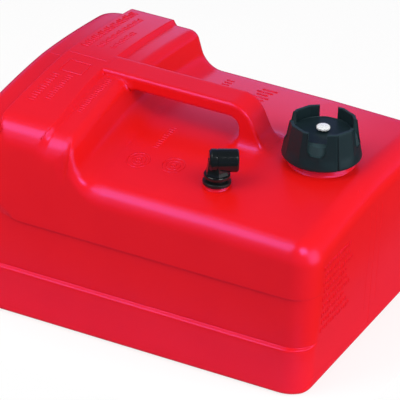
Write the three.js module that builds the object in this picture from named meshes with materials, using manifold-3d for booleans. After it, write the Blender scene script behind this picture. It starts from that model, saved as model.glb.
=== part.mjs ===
// Portable outboard fuel tank: blow-moulded shell with a moulded handle, screw cap and pickup elbow.
// Millimetres, +Z up, +X toward the filler end, origin on the floor under the middle of the tank.
import * as THREE from "three";
import { mergeVertices } from "three/addons/utils/BufferGeometryUtils.js";
import Module from "manifold-3d";

const wasm = await Module();
wasm.setup();

// Gap between pieces that touch, the overrun of every cut, and the distance that joins two points
const gap = 0.3;
const overrun = 1;
const weld = 1e-4;

// Body of the tank
const tank = {
  length: 360,
  width: 286,
  wall: 4,
  deck: 169.2,
  deckFall: 13.5,
  deckDroop: 2.5,
  droopLength: 110,
  cornerRadius: 21,
  baseRound: 6.5,
  topRound: 13,
  endLean: 2.6,
  skirtTop: 48,
  ledgeRise: 3,
  ledgeDepth: 4,
  creaseHeight: 101,
  creaseRise: 1.2,
  creaseDepth: 1,
};

// Raised block at the far end from the filler: an outer strip, the main top and a lower shelf
const block = {
  rise: 41.3,
  fall: 13.5,
  stripWidth: 31,
  stripDrop: 7,
  stripRiserRun: 1.5,
  mainWidth: 46,
  shelfDrop: 5,
  shelfRiserRun: 4.5,
  shelfWidth: 23,
  stepRound: 1,
  wallAngle: 73,
  wallRound: 12,
  footRound: 28,
};

// Moulded handle from the block to the deck
const handle = {
  width: 32,
  thickness: 14,
  fromNeck: 79,
  legTop: 5.3,
  legAngle: 63.4,
  bendRound: 26,
  innerRound: 11,
  edgeRound: 4,
};

// Filler neck and its screw thread
const neck = {
  endInset: 60,
  bore: 23.5,
  wall: 3,
  height: 21.8,
  bossRadius: 38.5,
  bossHeight: 4.7,
  bossRound: 1.2,
  bossFlare: 4,
};
const thread = {
  pitch: 6,
  depth: 1.7,
  rootWidth: 3,
  crestWidth: 1.2,
  radialGap: 0.6,
  axialGap: 0.5,
  neckTurns: 1.75,
  capTurns: 1.25,
  capLeadTurns: 0.5,
  topInset: 4,
};

// Screw cap: outer grip with four slots, inner threaded insert and gasket
const cap = {
  baseRadius: 37.5,
  rimRadius: 36.2,
  rimHeight: 1.6,
  topRadius: 32,
  baseGap: 0.8,
  skirtWall: 2.6,
  floor: 2.6,
  wallRise: 10.7,
  wallThickness: 3.4,
  slotWidth: 19.6,
  slotCount: 4,
  slotAngle: 15,
  channelDepth: 1.5,
  channelFoot: 7,
  insertDisc: 3,
  insertWall: 1.7,
  gasketThickness: 2,
  gasketLand: 2,
};

// Vent screw in the middle of the cap
const vent = {
  headRadius: 6.5,
  headHeight: 3.3,
  scallops: 12,
  scallopRadius: 0.9,
  headChamfer: 0.5,
  shankRadius: 2.4,
  shankGap: 0.4,
  bossRadius: 6.5,
  bossDepth: 4,
  ringRadius: 5.2,
  ringThickness: 1.5,
  clipRadius: 4.6,
  clipThickness: 1.2,
  clipSlot: 2.4,
  clipGrip: 0.5,
  endLength: 0.8,
  slotWidth: 1.2,
  slotDepth: 1.3,
  travel: 3,
};

// Pickup elbow on the deck, in front of the handle
const pickup = {
  fromNeck: 66,
  y: -84,
  facing: 30.6,
  padRadius: 15.5,
  padRise: 2,
  stemRadius: 5,
  boreRadius: 2.8,
  hexFlats: 18.4,
  barrelRadius: 10.9,
  barrelHeight: 23.6,
  barrelBack: 8,
  barrelReach: 19.1,
  barrelRound: 1.6,
  barrelLip: 0.6,
  socketRadius: 6.2,
  socketDepth: 13,
  socketChamfer: 0.8,
  barbRadius: 4.4,
  barbLength: 14,
  barbRidge: 0.5,
  barbPitch: 3.5,
  barbCount: 3,
};
const grommet = {
  flangeRadius: 13.4,
  flangeHeight: 3.4,
  neckWall: 2.1,
  lipRadius: 12,
  lipHeight: 2,
  lipDrop: 1.6,
};
const bush = {
  flangeRadius: 12.4,
  flangeHeight: 3.6,
  collarRadius: 10.3,
  collarHeight: 3,
  wall: 1.7,
  edge: 0.6,
};
const stemRing = { depth: 1.1, width: 1.9, drop: 4, side: 0.15 };
const stemClip = { grip: 0.8, wall: 2.4, thickness: 1.2, slot: 5.5 };

// Tube and strainer that reach down to the tank floor
const dipTube = { wall: 1.4, fit: 0.3, floorGap: 26 };
const strainer = {
  floorGap: 3,
  spigotLength: 10,
  shoulderRadius: 8.5,
  shoulderHeight: 3,
  cageRadius: 6.4,
  postWidth: 2.2,
  postCount: 4,
  coreRadius: 3.1,
  screenWall: 0.5,
  plugHeight: 2.6,
  plugPegRadius: 2.5,
  plugPegHeight: 3,
};

// Facets in a full turn of large and small pieces, and in a rounded corner, half a crown and a bend
const facets = { large: 40, small: 20, corner: 3, side: 4, bend: 6, hex: 6 };

// How the crown falls away from the middle plane: share of the half width raised to this power
const crownPower = 1.6;
const degree = Math.PI / 180;

const halfLength = tank.length / 2;
const halfWidth = tank.width / 2;
const blockTop = tank.deck + block.rise;
const neckX = halfLength - neck.endInset;
const handleX = neckX - handle.fromNeck;
const pickupX = neckX - pickup.fromNeck;

// Closed solid of a three.js geometry
function solid(geometry) {
  const bare = geometry.index ? geometry.toNonIndexed() : geometry.clone();
  bare.deleteAttribute("normal");
  bare.deleteAttribute("uv");
  const merged = mergeVertices(bare, weld);
  return new wasm.Manifold(
    new wasm.Mesh({
      numProp: 3,
      vertProperties: new Float32Array(merged.attributes.position.array),
      triVerts: new Uint32Array(merged.index.array),
    }),
  );
}

// three.js geometry of a solid
function geometryOf(body) {
  const { vertProperties, triVerts } = body.getMesh();
  const geometry = new THREE.BufferGeometry();
  geometry.setAttribute("position", new THREE.BufferAttribute(new Float32Array(vertProperties), 3));
  geometry.setIndex(new THREE.BufferAttribute(new Uint32Array(triVerts), 1));
  geometry.computeVertexNormals();
  return geometry;
}

const join = (first, ...rest) => rest.reduce((sum, next) => sum.add(next), first);
const cut = (first, ...rest) => rest.reduce((sum, next) => sum.subtract(next), first);

// Solid of revolution about Z from [radius, height] points, closed back to the axis or to its start
function turned(points, around = facets.large) {
  const first = points[0];
  const last = points[points.length - 1];
  const closed = first[0] === 0 && last[0] === 0 ? points : [...points, first];
  const profile = closed.map(([radius, height]) => new THREE.Vector2(radius, height));
  return solid(new THREE.LatheGeometry(profile, around).rotateX(Math.PI / 2));
}

// Ring with square edges: inner and outer radius, bottom and top height
function ring(inner, outer, bottom, top, around = facets.large) {
  return turned([[inner, bottom], [outer, bottom], [outer, top], [inner, top]], around);
}

// Upright cylinder between two heights
function rod(radius, bottom, top, around = facets.large) {
  return turned([[0, bottom], [radius, bottom], [radius, top], [0, top]], around);
}

// Box centred on x and y, between two heights
function boxAt(width, depth, bottom, top, x = 0, y = 0) {
  const box = new THREE.BoxGeometry(width, depth, top - bottom);
  return solid(box.translate(x, y, (top + bottom) / 2));
}

// Solid through rings of points, each ring [x, y, z] points in the same order, closed by end fans
function loft(rings) {
  const count = rings[0].length;
  const points = rings.flat();
  const middle = (list) => list[0].map((_, k) => list.reduce((sum, p) => sum + p[k], 0) / list.length);
  points.push(middle(rings[0]), middle(rings[rings.length - 1]));
  const index = [];
  for (let i = 0; i < rings.length - 1; i++) {
    for (let j = 0; j < count; j++) {
      const a = i * count + j;
      const b = i * count + ((j + 1) % count);
      index.push(a, b, b + count, a, b + count, a + count);
    }
  }
  const lastStart = (rings.length - 1) * count;
  for (let j = 0; j < count; j++) {
    const next = (j + 1) % count;
    index.push(points.length - 2, next, j);
    index.push(points.length - 1, lastStart + j, lastStart + next);
  }
  const geometry = new THREE.BufferGeometry();
  geometry.setAttribute("position", new THREE.Float32BufferAttribute(points.flat(), 3));
  geometry.setIndex(index);
  return solid(geometry);
}

// Open line of [x, z, round] corners with each corner rounded to its radius
function roundedLine(corners, steps = facets.corner) {
  const line = [];
  corners.forEach(([x, z, round = 0], i) => {
    if (!round || i === 0 || i === corners.length - 1) {
      line.push([x, z]);
      return;
    }
    const here = new THREE.Vector2(x, z);
    const back = new THREE.Vector2(corners[i - 1][0], corners[i - 1][1]).sub(here);
    const ahead = new THREE.Vector2(corners[i + 1][0], corners[i + 1][1]).sub(here);
    const halfAngle = Math.acos(back.clone().normalize().dot(ahead.clone().normalize())) / 2;
    const reach = Math.min(round / Math.tan(halfAngle), back.length() / 2, ahead.length() / 2);
    const radius = reach * Math.tan(halfAngle);
    const start = here.clone().addScaledVector(back.normalize(), reach);
    const middle = back.add(ahead.normalize()).normalize();
    const centre = here.clone().addScaledVector(middle, radius / Math.sin(halfAngle));
    const spoke = start.sub(centre);
    const end = here.clone().addScaledVector(ahead, reach).sub(centre);
    const sweep = Math.atan2(spoke.cross(end), spoke.dot(end));
    for (let k = 0; k <= steps; k++) {
      const turn = spoke.clone().rotateAround(new THREE.Vector2(), (sweep * k) / steps);
      line.push([centre.x + turn.x, centre.y + turn.y]);
    }
  });
  return line;
}

// Height of a line of [x, z] points at x
function heightAt(line, x) {
  const next = line.findIndex(([lineX]) => lineX >= x);
  if (next <= 0) return next === 0 ? line[0][1] : line[line.length - 1][1];
  const [x0, z0] = line[next - 1];
  const [x1, z1] = line[next];
  return z0 + ((z1 - z0) * (x - x0)) / (x1 - x0);
}

// Fall of the crowned top at a distance from the middle plane, for a top of that height
function fallAt(y, top) {
  const share = THREE.MathUtils.clamp((top - tank.deck) / block.rise, 0, 1);
  const fall = THREE.MathUtils.lerp(tank.deckFall, block.fall, share);
  return fall * (Math.abs(y) / halfWidth) ** crownPower;
}

const deckAt = (y) => tank.deck - fallAt(y, tank.deck);
const shelfEnd = -halfLength + block.stripWidth + block.mainWidth + block.shelfRiserRun + block.shelfWidth;
const wallSlope = Math.tan(block.wallAngle * degree);
const wallFoot = shelfEnd + (blockTop - block.shelfDrop - tank.deck) / wallSlope;

// Top line of the outside, from the strip end to the filler end, along the middle plane
function outerTopLine() {
  const mainStart = -halfLength + block.stripWidth;
  const mainEnd = mainStart + block.mainWidth;
  const strip = blockTop - block.stripDrop;
  const shelf = blockTop - block.shelfDrop;
  return roundedLine([
    [-halfLength, tank.creaseHeight],
    [-halfLength, strip, tank.topRound],
    [mainStart - block.stripRiserRun, strip, block.stepRound],
    [mainStart, blockTop, block.stepRound],
    [mainEnd, blockTop, block.stepRound],
    [mainEnd + block.shelfRiserRun, shelf, block.stepRound],
    [shelfEnd, shelf, block.wallRound],
    [wallFoot, tank.deck, block.footRound],
    [halfLength - tank.droopLength, tank.deck],
    [halfLength, tank.deck - tank.deckDroop, tank.topRound],
    [halfLength, tank.creaseHeight],
  ]).slice(1, -1);
}

// Top line of the hollow, one wall inside the lowest part of the block
function innerTopLine() {
  const end = halfLength - tank.wall;
  const under = blockTop - Math.max(block.stripDrop, block.shelfDrop) - tank.wall;
  const deck = tank.deck - tank.wall;
  const foot = wallFoot - tank.wall / Math.sin(block.wallAngle * degree) + tank.wall / wallSlope;
  const round = tank.topRound - tank.wall;
  return roundedLine([
    [-end, tank.creaseHeight],
    [-end, under, round],
    [foot - (under - deck) / wallSlope, under, block.wallRound - tank.wall],
    [foot, deck, block.footRound + tank.wall],
    [halfLength - tank.droopLength, deck],
    [end, deck - tank.deckDroop, round],
    [end, tank.creaseHeight],
  ]).slice(1, -1);
}

// One upright section of the body: half widths with the skirt ledge and crease, crowned top
function section(x, top, inset) {
  const radius = tank.cornerRadius - inset;
  const endStart = halfLength - inset - radius;
  const past = Math.max(0, Math.abs(x) - endStart);
  const half = halfWidth - inset - (radius - Math.sqrt(Math.max(0, radius ** 2 - past ** 2)));
  const baseRound = tank.baseRound - inset;
  const pastBase = Math.max(0, Math.abs(x) - (halfLength - inset - baseRound));
  const bottom = inset + baseRound - Math.sqrt(Math.max(0, baseRound ** 2 - pastBase ** 2));
  const band = half - tank.ledgeDepth;
  const panel = band + tank.creaseDepth;
  const topRound = tank.topRound - inset;
  const shoulder = panel - topRound;
  const side = [[0, bottom], [shoulder, bottom]];
  for (let k = 0; k <= facets.corner; k++) {
    const turn = (k / facets.corner) * (Math.PI / 2);
    const round = baseRound;
    side.push([half - round + round * Math.sin(turn), bottom + round - round * Math.cos(turn)]);
  }
  side.push([half, tank.skirtTop], [band, tank.skirtTop + tank.ledgeRise]);
  side.push([band, tank.creaseHeight], [panel, tank.creaseHeight + tank.creaseRise]);
  const edge = top - fallAt(shoulder, top);
  for (let k = 0; k <= facets.corner; k++) {
    const turn = (k / facets.corner) * (Math.PI / 2);
    side.push([shoulder + topRound * Math.cos(turn), edge - topRound + topRound * Math.sin(turn)]);
  }
  for (let k = facets.side - 1; k >= 0; k--) {
    const y = (shoulder * k) / facets.side;
    side.push([y, top - fallAt(y, top)]);
  }
  const other = side.slice(1, -1).reverse().map(([y, z]) => [-y, z]);
  return [...side, ...other];
}

// Leaning end faces: the body grows from the floor up to the rounded edge of the deck
function leaned(x, y, z) {
  const full = tank.deck - tank.deckDroop - tank.topRound;
  const lean = (tank.endLean / halfLength) * Math.max(0, 1 - z / full);
  return [x * (1 - lean), y, z];
}

// Body of the tank, or its hollow when inset by the wall
function bodySolid(line, inset) {
  const radius = tank.cornerRadius - inset;
  const places = line.map(([x]) => x);
  for (let k = 0; k <= facets.corner + 1; k++) {
    const turn = (k / (facets.corner + 1)) * (Math.PI / 2);
    const x = halfLength - inset - radius + radius * Math.sin(turn);
    places.push(x, -x);
  }
  places.sort((a, b) => a - b);
  const ends = [places[0], places[places.length - 1]];
  const close = tank.wall / 8;
  const inner = places.filter((x, i) => i === 0 || x - places[i - 1] > close);
  const kept = inner.filter((x) => x === ends[0] || ends[1] - x > close);
  const stations = [...kept, ends[1]];
  return loft(stations.map((x) => section(x, heightAt(line, x), inset).map(([y, z]) => leaned(x, y, z))));
}

// Handle: bar and leg in one outline, extruded across the middle plane with rounded edges
function handleSolid() {
  const top = blockTop;
  const under = top - handle.thickness;
  const root = tank.deck - tank.wall / 2;
  const slope = Math.tan(handle.legAngle * degree);
  const inBlock = shelfEnd - block.shelfWidth;
  const outline = roundedLine([
    [inBlock, under],
    [inBlock, top],
    [handleX + handle.legTop, top, handle.bendRound],
    [handleX + handle.legTop + (top - root) / slope, root],
    [handleX, root],
    [handleX, under, handle.innerRound],
    [inBlock, under],
  ], facets.bend);
  const shape = new THREE.Shape(outline.slice(0, -1).map(([x, z]) => new THREE.Vector2(x, z)));
  const bar = new THREE.ExtrudeGeometry(shape, {
    depth: handle.width - 2 * handle.edgeRound,
    steps: 1,
    bevelThickness: handle.edgeRound,
    bevelSize: handle.edgeRound,
    bevelOffset: -handle.edgeRound,
    bevelSegments: facets.corner,
  });
  bar.translate(0, 0, handle.edgeRound - handle.width / 2);
  return solid(bar.rotateX(Math.PI / 2));
}

// Filler neck with its boss, from inside the deck wall to the rim, on the neck axis
function neckSolid() {
  const bottom = tank.deck - (tank.wall * 3) / 4;
  const bossTop = tank.deck + neck.bossHeight;
  const outside = neck.bore + neck.wall;
  return turned([
    [0, bottom],
    [neck.bossRadius + neck.bossFlare, bottom],
    [neck.bossRadius, bossTop - neck.bossRound],
    [neck.bossRadius - neck.bossRound, bossTop],
    [outside, bossTop],
    [outside, tank.deck + neck.height],
    [0, tank.deck + neck.height],
  ]);
}

// Helical ridge from a root radius to a crest radius, climbing one pitch a turn, faded at both ends
function helixRidge(rootRadius, crestRadius, startHeight, turns, startTurn) {
  const steps = Math.round(turns * facets.small);
  const outward = Math.sign(crestRadius - rootRadius);
  const sunk = rootRadius - outward * (neck.wall / 4);
  const rings = [];
  for (let i = 0; i <= steps; i++) {
    const angle = (startTurn + (turns * i) / steps) * 2 * Math.PI;
    const z = startHeight + (thread.pitch * turns * i) / steps;
    const fade = Math.min(1, (Math.min(i, steps - i) + 1) / (facets.corner + 1));
    const crest = THREE.MathUtils.lerp(rootRadius, crestRadius, fade);
    const corners = [
      [sunk, -thread.rootWidth / 2],
      [crest, -thread.crestWidth / 2],
      [crest, thread.crestWidth / 2],
      [sunk, thread.rootWidth / 2],
    ];
    if (outward > 0) corners.reverse();
    rings.push(corners.map(([r, h]) => [r * Math.cos(angle), r * Math.sin(angle), z + h]));
  }
  return loft(rings);
}

// Heights on the neck axis, from the deck up
const rim = tank.deck + neck.height;
const gasketBottom = rim + gap;
const discBottom = gasketBottom + cap.gasketThickness + gap;
const discTop = discBottom + cap.insertDisc;
const floorBottom = discTop + gap;
const floorTop = floorBottom + cap.floor;
const capTop = floorTop + cap.wallRise;
const capBottom = tank.deck + neck.bossHeight + cap.baseGap;
const neckOutside = neck.bore + neck.wall;
const crestRadius = neckOutside + thread.depth;
const insertInside = crestRadius + thread.radialGap;
const insertOutside = insertInside + cap.insertWall;
const neckThreadStart = rim - thread.topInset - thread.pitch * thread.neckTurns;
const neckThread = () =>
  helixRidge(neckOutside, crestRadius, neckThreadStart, thread.neckTurns, 0);

// Tank shell: outside, handle, neck and pad joined, then hollowed and bored
function tankShell() {
  const neckAt = (body) => body.translate([neckX, 0, 0]);
  const pad = rod(pickup.padRadius, padTop - pickup.padRise - tank.wall / 2, padTop);
  const outside = join(
    bodySolid(outerTopLine(), 0),
    handleSolid(),
    neckAt(neckSolid()),
    neckAt(neckThread()),
    pad.translate([pickupX, pickup.y, 0]),
  );
  const hollow = bodySolid(innerTopLine(), tank.wall);
  const neckBore = rod(neck.bore, tank.deck - 2 * tank.wall, rim + overrun);
  const pickupHole = rod(holeRadius, padTop - pickup.padRise - 2 * tank.wall, padTop + overrun);
  return cut(outside, hollow, neckAt(neckBore), pickupHole.translate([pickupX, pickup.y, 0]));
}

// Outside radius of the grip's cone at a height
function gripRadius(height) {
  const from = capBottom + cap.rimHeight;
  const share = (height - from) / (capTop - from);
  return THREE.MathUtils.lerp(cap.baseRadius, cap.topRadius, share);
}

// Grip of the cap: conical skirt, recessed floor and four walls between four slots
function capGrip() {
  const inner = insertOutside + gap;
  const mouth = cap.baseRadius - cap.skirtWall;
  const recess = cap.topRadius - cap.wallThickness;
  const body = turned([
    [inner, floorBottom],
    [inner, (capBottom + floorBottom) / 2],
    [mouth, capBottom],
    [cap.rimRadius, capBottom],
    [cap.baseRadius, capBottom + cap.rimHeight],
    [cap.topRadius, capTop],
    [recess, capTop],
    [recess, floorTop],
    [vent.shankRadius + vent.shankGap, floorTop],
    [vent.shankRadius + vent.shankGap, floorBottom],
  ]);
  const lean = Math.atan2(cap.baseRadius - cap.topRadius, capTop - capBottom - cap.rimHeight);
  const channelBottom = capBottom + cap.channelFoot;
  const cuts = [];
  for (let k = 0; k < cap.slotCount; k++) {
    const turn = cap.slotAngle + (360 / cap.slotCount) * k;
    const reach = cap.baseRadius + overrun;
    const slot = boxAt(reach, cap.slotWidth, floorTop, capTop + overrun, reach / 2);
    const tall = capTop - channelBottom;
    const channel = new THREE.BoxGeometry(2 * cap.channelDepth, cap.slotWidth, tall + 2 * overrun);
    channel.translate(0, 0, tall / 2 + overrun).rotateY(-lean);
    channel.translate(gripRadius(channelBottom), 0, channelBottom);
    cuts.push(slot.rotate([0, 0, turn]), solid(channel).rotate([0, 0, turn]));
  }
  return cut(body, ...cuts);
}

// Threaded insert of the cap: disc with the vent boss, wall and inner thread
function capInsert() {
  const hole = vent.shankRadius + vent.shankGap;
  const wallBottom = capBottom + cap.baseGap;
  const shell = turned([
    [hole, discTop],
    [hole, discBottom - vent.bossDepth],
    [vent.bossRadius, discBottom - vent.bossDepth],
    [vent.bossRadius, discBottom],
    [insertInside, discBottom],
    [insertInside, wallBottom],
    [insertOutside, wallBottom],
    [insertOutside, discTop],
  ]);
  const below = thread.rootWidth + thread.axialGap - thread.pitch;
  const ridge = helixRidge(
    insertInside,
    neckOutside + thread.radialGap,
    neckThreadStart + below + thread.pitch * thread.capLeadTurns,
    thread.capTurns,
    thread.capLeadTurns,
  );
  return join(shell, ridge);
}

const capGasket = () =>
  ring(neck.bore - cap.gasketLand, insertInside - gap, gasketBottom, gasketBottom + cap.gasketThickness);

// Vent screw heights: seal ring, head, shank end and clip
const headBottom = floorTop + gap + vent.ringThickness + gap;
const clipTop = discBottom - vent.bossDepth - gap - vent.travel;
const clipBottom = clipTop - vent.clipThickness;

// Vent screw: scalloped head on a shank with a vent slot and a groove for its clip
function ventScrew() {
  const headTop = headBottom + vent.headHeight;
  const grooveRadius = vent.shankRadius - vent.clipGrip;
  const end = clipBottom - gap - vent.endLength;
  const body = turned([
    [0, end],
    [vent.shankRadius, end],
    [vent.shankRadius, clipBottom - gap],
    [grooveRadius, clipBottom - gap],
    [grooveRadius, clipTop + gap],
    [vent.shankRadius, clipTop + gap],
    [vent.shankRadius, headBottom],
    [vent.headRadius, headBottom],
    [vent.headRadius, headTop - vent.headChamfer],
    [vent.headRadius - vent.headChamfer, headTop],
    [0, headTop],
  ], facets.large);
  const cuts = [];
  for (let k = 0; k < vent.scallops; k++) {
    const notch = rod(vent.scallopRadius, headBottom - overrun, headTop + overrun, facets.small / 2);
    const turn = (360 / vent.scallops) * k;
    cuts.push(notch.translate([vent.headRadius, 0, 0]).rotate([0, 0, turn]));
  }
  const slotTop = discTop + gap;
  const slot = boxAt(vent.slotDepth, vent.slotWidth, clipTop + 2 * gap, slotTop, vent.shankRadius);
  return cut(body, ...cuts, slot);
}

const ventRing = () => {
  const bottom = floorTop + gap;
  return ring(vent.shankRadius + gap, vent.ringRadius, bottom, bottom + vent.ringThickness, facets.small);
};

// Spring clip with an opening, pushed into a groove: inner and outer radius, heights, slot width
function clipSolid(inner, outer, bottom, top, slotWidth) {
  const whole = ring(inner, outer, bottom, top, facets.small);
  const reach = outer + overrun;
  return cut(whole, boxAt(reach, slotWidth, bottom - overrun, top + overrun, reach / 2));
}

const ventClip = () => {
  const inner = vent.shankRadius - vent.clipGrip + gap;
  return clipSolid(inner, vent.clipRadius, clipBottom, clipTop, vent.clipSlot);
};

// Pickup fitting: heights are counted from the pad on the deck
const padTop = deckAt(pickup.y) + pickup.padRise;
const bushBore = pickup.stemRadius + gap;
const spigotRadius = bushBore + bush.wall;
const grommetBore = spigotRadius + gap;
const grommetNeck = grommetBore + grommet.neckWall;
const holeRadius = grommetNeck + gap;
const flangeTop = gap + grommet.flangeHeight;
const lipTop = -pickup.padRise - tank.wall - grommet.lipDrop;
const lipBottom = lipTop - grommet.lipHeight;
const collarBottom = flangeTop + gap;
const bushTop = collarBottom + bush.collarHeight + bush.flangeHeight;
const spigotBottom = lipBottom - gap;
const clipStart = spigotBottom - gap;
const clipEnd = clipStart - stemClip.thickness;
const barbTop = clipEnd - gap - stemClip.thickness;
const barbBottom = barbTop - pickup.barbLength;

// Rubber grommet that seals the deck hole
const pickupGrommet = () =>
  turned([
    [grommetBore, lipBottom],
    [grommet.lipRadius, lipBottom],
    [grommet.lipRadius, lipTop],
    [grommetNeck, lipTop],
    [grommetNeck, gap],
    [grommet.flangeRadius, gap],
    [grommet.flangeRadius, flangeTop - bush.edge],
    [grommet.flangeRadius - bush.edge, flangeTop],
    [grommetBore, flangeTop],
  ]);

// Hard bush pushed down through the grommet, which carries the swivelling elbow
const pickupBush = () =>
  turned([
    [bushBore, spigotBottom],
    [spigotRadius, spigotBottom],
    [spigotRadius, collarBottom],
    [bush.collarRadius, collarBottom],
    [bush.collarRadius, collarBottom + bush.collarHeight],
    [bush.flangeRadius, collarBottom + bush.collarHeight],
    [bush.flangeRadius, bushTop - bush.edge],
    [bush.flangeRadius - bush.edge, bushTop],
    [bushBore, bushTop],
  ]);

// Stem of the elbow with grooves for the seal ring and the clip, and a barbed end for the tube
function elbowStem() {
  const ringTop = flangeTop - stemRing.drop;
  const ringBottom = ringTop - stemRing.width;
  const profile = [
    [0, barbBottom],
    [pickup.barbRadius - pickup.barbRidge, barbBottom],
  ];
  for (let k = 0; k < pickup.barbCount; k++) {
    const base = barbBottom + pickup.barbPitch * k;
    profile.push([pickup.barbRadius, base + pickup.barbPitch]);
    profile.push([pickup.barbRadius - pickup.barbRidge, base + pickup.barbPitch]);
  }
  profile.push(
    [pickup.barbRadius - pickup.barbRidge, barbTop],
    [pickup.stemRadius, barbTop],
    [pickup.stemRadius, clipEnd - stemRing.side],
    [pickup.stemRadius - stemClip.grip, clipEnd - stemRing.side],
    [pickup.stemRadius - stemClip.grip, clipStart + stemRing.side],
    [pickup.stemRadius, clipStart + stemRing.side],
    [pickup.stemRadius, ringBottom],
    [pickup.stemRadius - stemRing.depth, ringBottom],
    [pickup.stemRadius - stemRing.depth, ringTop],
    [pickup.stemRadius, ringTop],
    [pickup.stemRadius, pickup.barrelHeight],
    [0, pickup.barrelHeight],
  );
  return turned(profile, facets.small);
}

// Elbow: stem, hexagon and a level barrel with the outlet socket, facing +X before it is turned
function pickupElbow() {
  const corner = 180 / facets.hex;
  const hexRadius = pickup.hexFlats / 2 / Math.cos(corner * degree);
  const hex = rod(hexRadius, bushTop + gap, pickup.barrelHeight, facets.hex).rotate([0, 0, corner]);
  const round = pickup.barrelRound;
  const radius = pickup.barrelRadius;
  const level = (body) => body.rotate([0, 90, 0]).translate([0, 0, pickup.barrelHeight]);
  const barrel = turned([
    [0, -pickup.barrelBack],
    [radius - round, -pickup.barrelBack],
    [radius - round * (1 - Math.SQRT1_2), -pickup.barrelBack + round * (1 - Math.SQRT1_2)],
    [radius, -pickup.barrelBack + round],
    [radius, pickup.barrelReach - pickup.barrelLip],
    [radius - pickup.barrelLip, pickup.barrelReach],
    [0, pickup.barrelReach],
  ]);
  const socket = turned([
    [0, 0],
    [pickup.boreRadius, 0],
    [pickup.boreRadius, pickup.barrelReach - pickup.socketDepth],
    [pickup.socketRadius, pickup.barrelReach - pickup.socketDepth],
    [pickup.socketRadius, pickup.barrelReach - pickup.socketChamfer],
    [pickup.socketRadius + pickup.socketChamfer, pickup.barrelReach],
    [pickup.socketRadius + pickup.socketChamfer, pickup.barrelReach + overrun],
    [0, pickup.barrelReach + overrun],
  ], facets.small);
  const bore = rod(pickup.boreRadius, barbBottom - overrun, pickup.barrelHeight, facets.small);
  return cut(join(elbowStem(), hex, level(barrel)), level(socket), bore);
}

const stemRingSolid = () => {
  const top = flangeTop - stemRing.drop - stemRing.side;
  const bottom = top - stemRing.width + 2 * stemRing.side;
  const inner = pickup.stemRadius - stemRing.depth + stemRing.side;
  return ring(inner, bushBore - stemRing.side, bottom, top, facets.small);
};

const stemClipSolid = () => {
  const inner = pickup.stemRadius - stemClip.grip + stemRing.side;
  return clipSolid(inner, inner + stemClip.wall, clipEnd, clipStart, stemClip.slot);
};

// Dip tube over the barb, down to the strainer
const tubeInner = pickup.barbRadius + dipTube.fit;
const tubeOuter = tubeInner + dipTube.wall;
const floorLevel = tank.wall - padTop;
const tubeBottom = floorLevel + dipTube.floorGap;
const tubeSolid = () => ring(tubeInner, tubeOuter, tubeBottom, barbTop - gap, facets.small);

// Strainer heights: plug, cage and the spigot inside the tube
const plugBottom = floorLevel + strainer.floorGap;
const cageBottom = plugBottom + strainer.plugHeight + gap;
const shoulderTop = tubeBottom - gap;
const shoulderBottom = shoulderTop - strainer.shoulderHeight;

// Strainer body: spigot and shoulder with a bored core, and posts that hold the screen
function strainerBody() {
  const head = ring(pickup.boreRadius, strainer.shoulderRadius, shoulderBottom, shoulderTop, facets.small);
  const spigot = ring(
    pickup.boreRadius,
    tubeInner - dipTube.fit,
    shoulderTop - overrun,
    shoulderTop + strainer.spigotLength,
    facets.small,
  );
  const footTop = cageBottom + strainer.shoulderHeight;
  const foot = ring(strainer.coreRadius, strainer.cageRadius, cageBottom, footTop, facets.small);
  const posts = [];
  const middle = (strainer.coreRadius + strainer.cageRadius) / 2;
  const depth = strainer.cageRadius - strainer.coreRadius - strainer.screenWall;
  for (let k = 0; k < strainer.postCount; k++) {
    const post = boxAt(depth, strainer.postWidth, cageBottom + overrun, shoulderBottom + overrun, middle);
    posts.push(post.rotate([0, 0, (360 / strainer.postCount) * k]));
  }
  return join(head, spigot, foot, ...posts);
}

const strainerScreen = () => {
  const inner = strainer.cageRadius + gap;
  return ring(inner, inner + strainer.screenWall, cageBottom, shoulderBottom - gap, facets.small);
};

// Plug that closes the bottom of the screen, with a peg inside the cage's foot
function strainerPlug() {
  const outer = strainer.cageRadius + gap + strainer.screenWall;
  const top = plugBottom + strainer.plugHeight;
  return turned([
    [0, plugBottom],
    [outer, plugBottom],
    [outer, top],
    [strainer.plugPegRadius, top],
    [strainer.plugPegRadius, top + strainer.plugPegHeight],
    [0, top + strainer.plugPegHeight],
  ], facets.small);
}

// Materials of the pieces
const looks = {
  red: { color: 0xd01418, roughness: 0.42, metalness: 0 },
  black: { color: 0x14181a, roughness: 0.38, metalness: 0 },
  gloss: { color: 0x0c0e10, roughness: 0.22, metalness: 0 },
  rubber: { color: 0x101112, roughness: 0.8, metalness: 0 },
  natural: { color: 0xd8d6cc, roughness: 0.5, metalness: 0 },
  nickel: { color: 0xd9dbd8, roughness: 0.25, metalness: 1 },
  steel: { color: 0xa9acae, roughness: 0.35, metalness: 1 },
  brass: { color: 0xb5934a, roughness: 0.4, metalness: 1 },
};

function piece(name, body, look) {
  const mesh = new THREE.Mesh(geometryOf(body), new THREE.MeshStandardMaterial(looks[look]));
  mesh.name = name;
  return mesh;
}

// Cap and vent stand on the neck axis
function capGroup() {
  const group = new THREE.Group();
  group.position.set(neckX, 0, 0);
  group.add(
    piece("cap_grip", capGrip(), "black"),
    piece("cap_insert", capInsert(), "natural"),
    piece("cap_gasket", capGasket(), "rubber"),
    piece("vent_screw", ventScrew(), "nickel"),
    piece("vent_o_ring", ventRing(), "rubber"),
    piece("vent_clip", ventClip(), "steel"),
  );
  return group;
}

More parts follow.
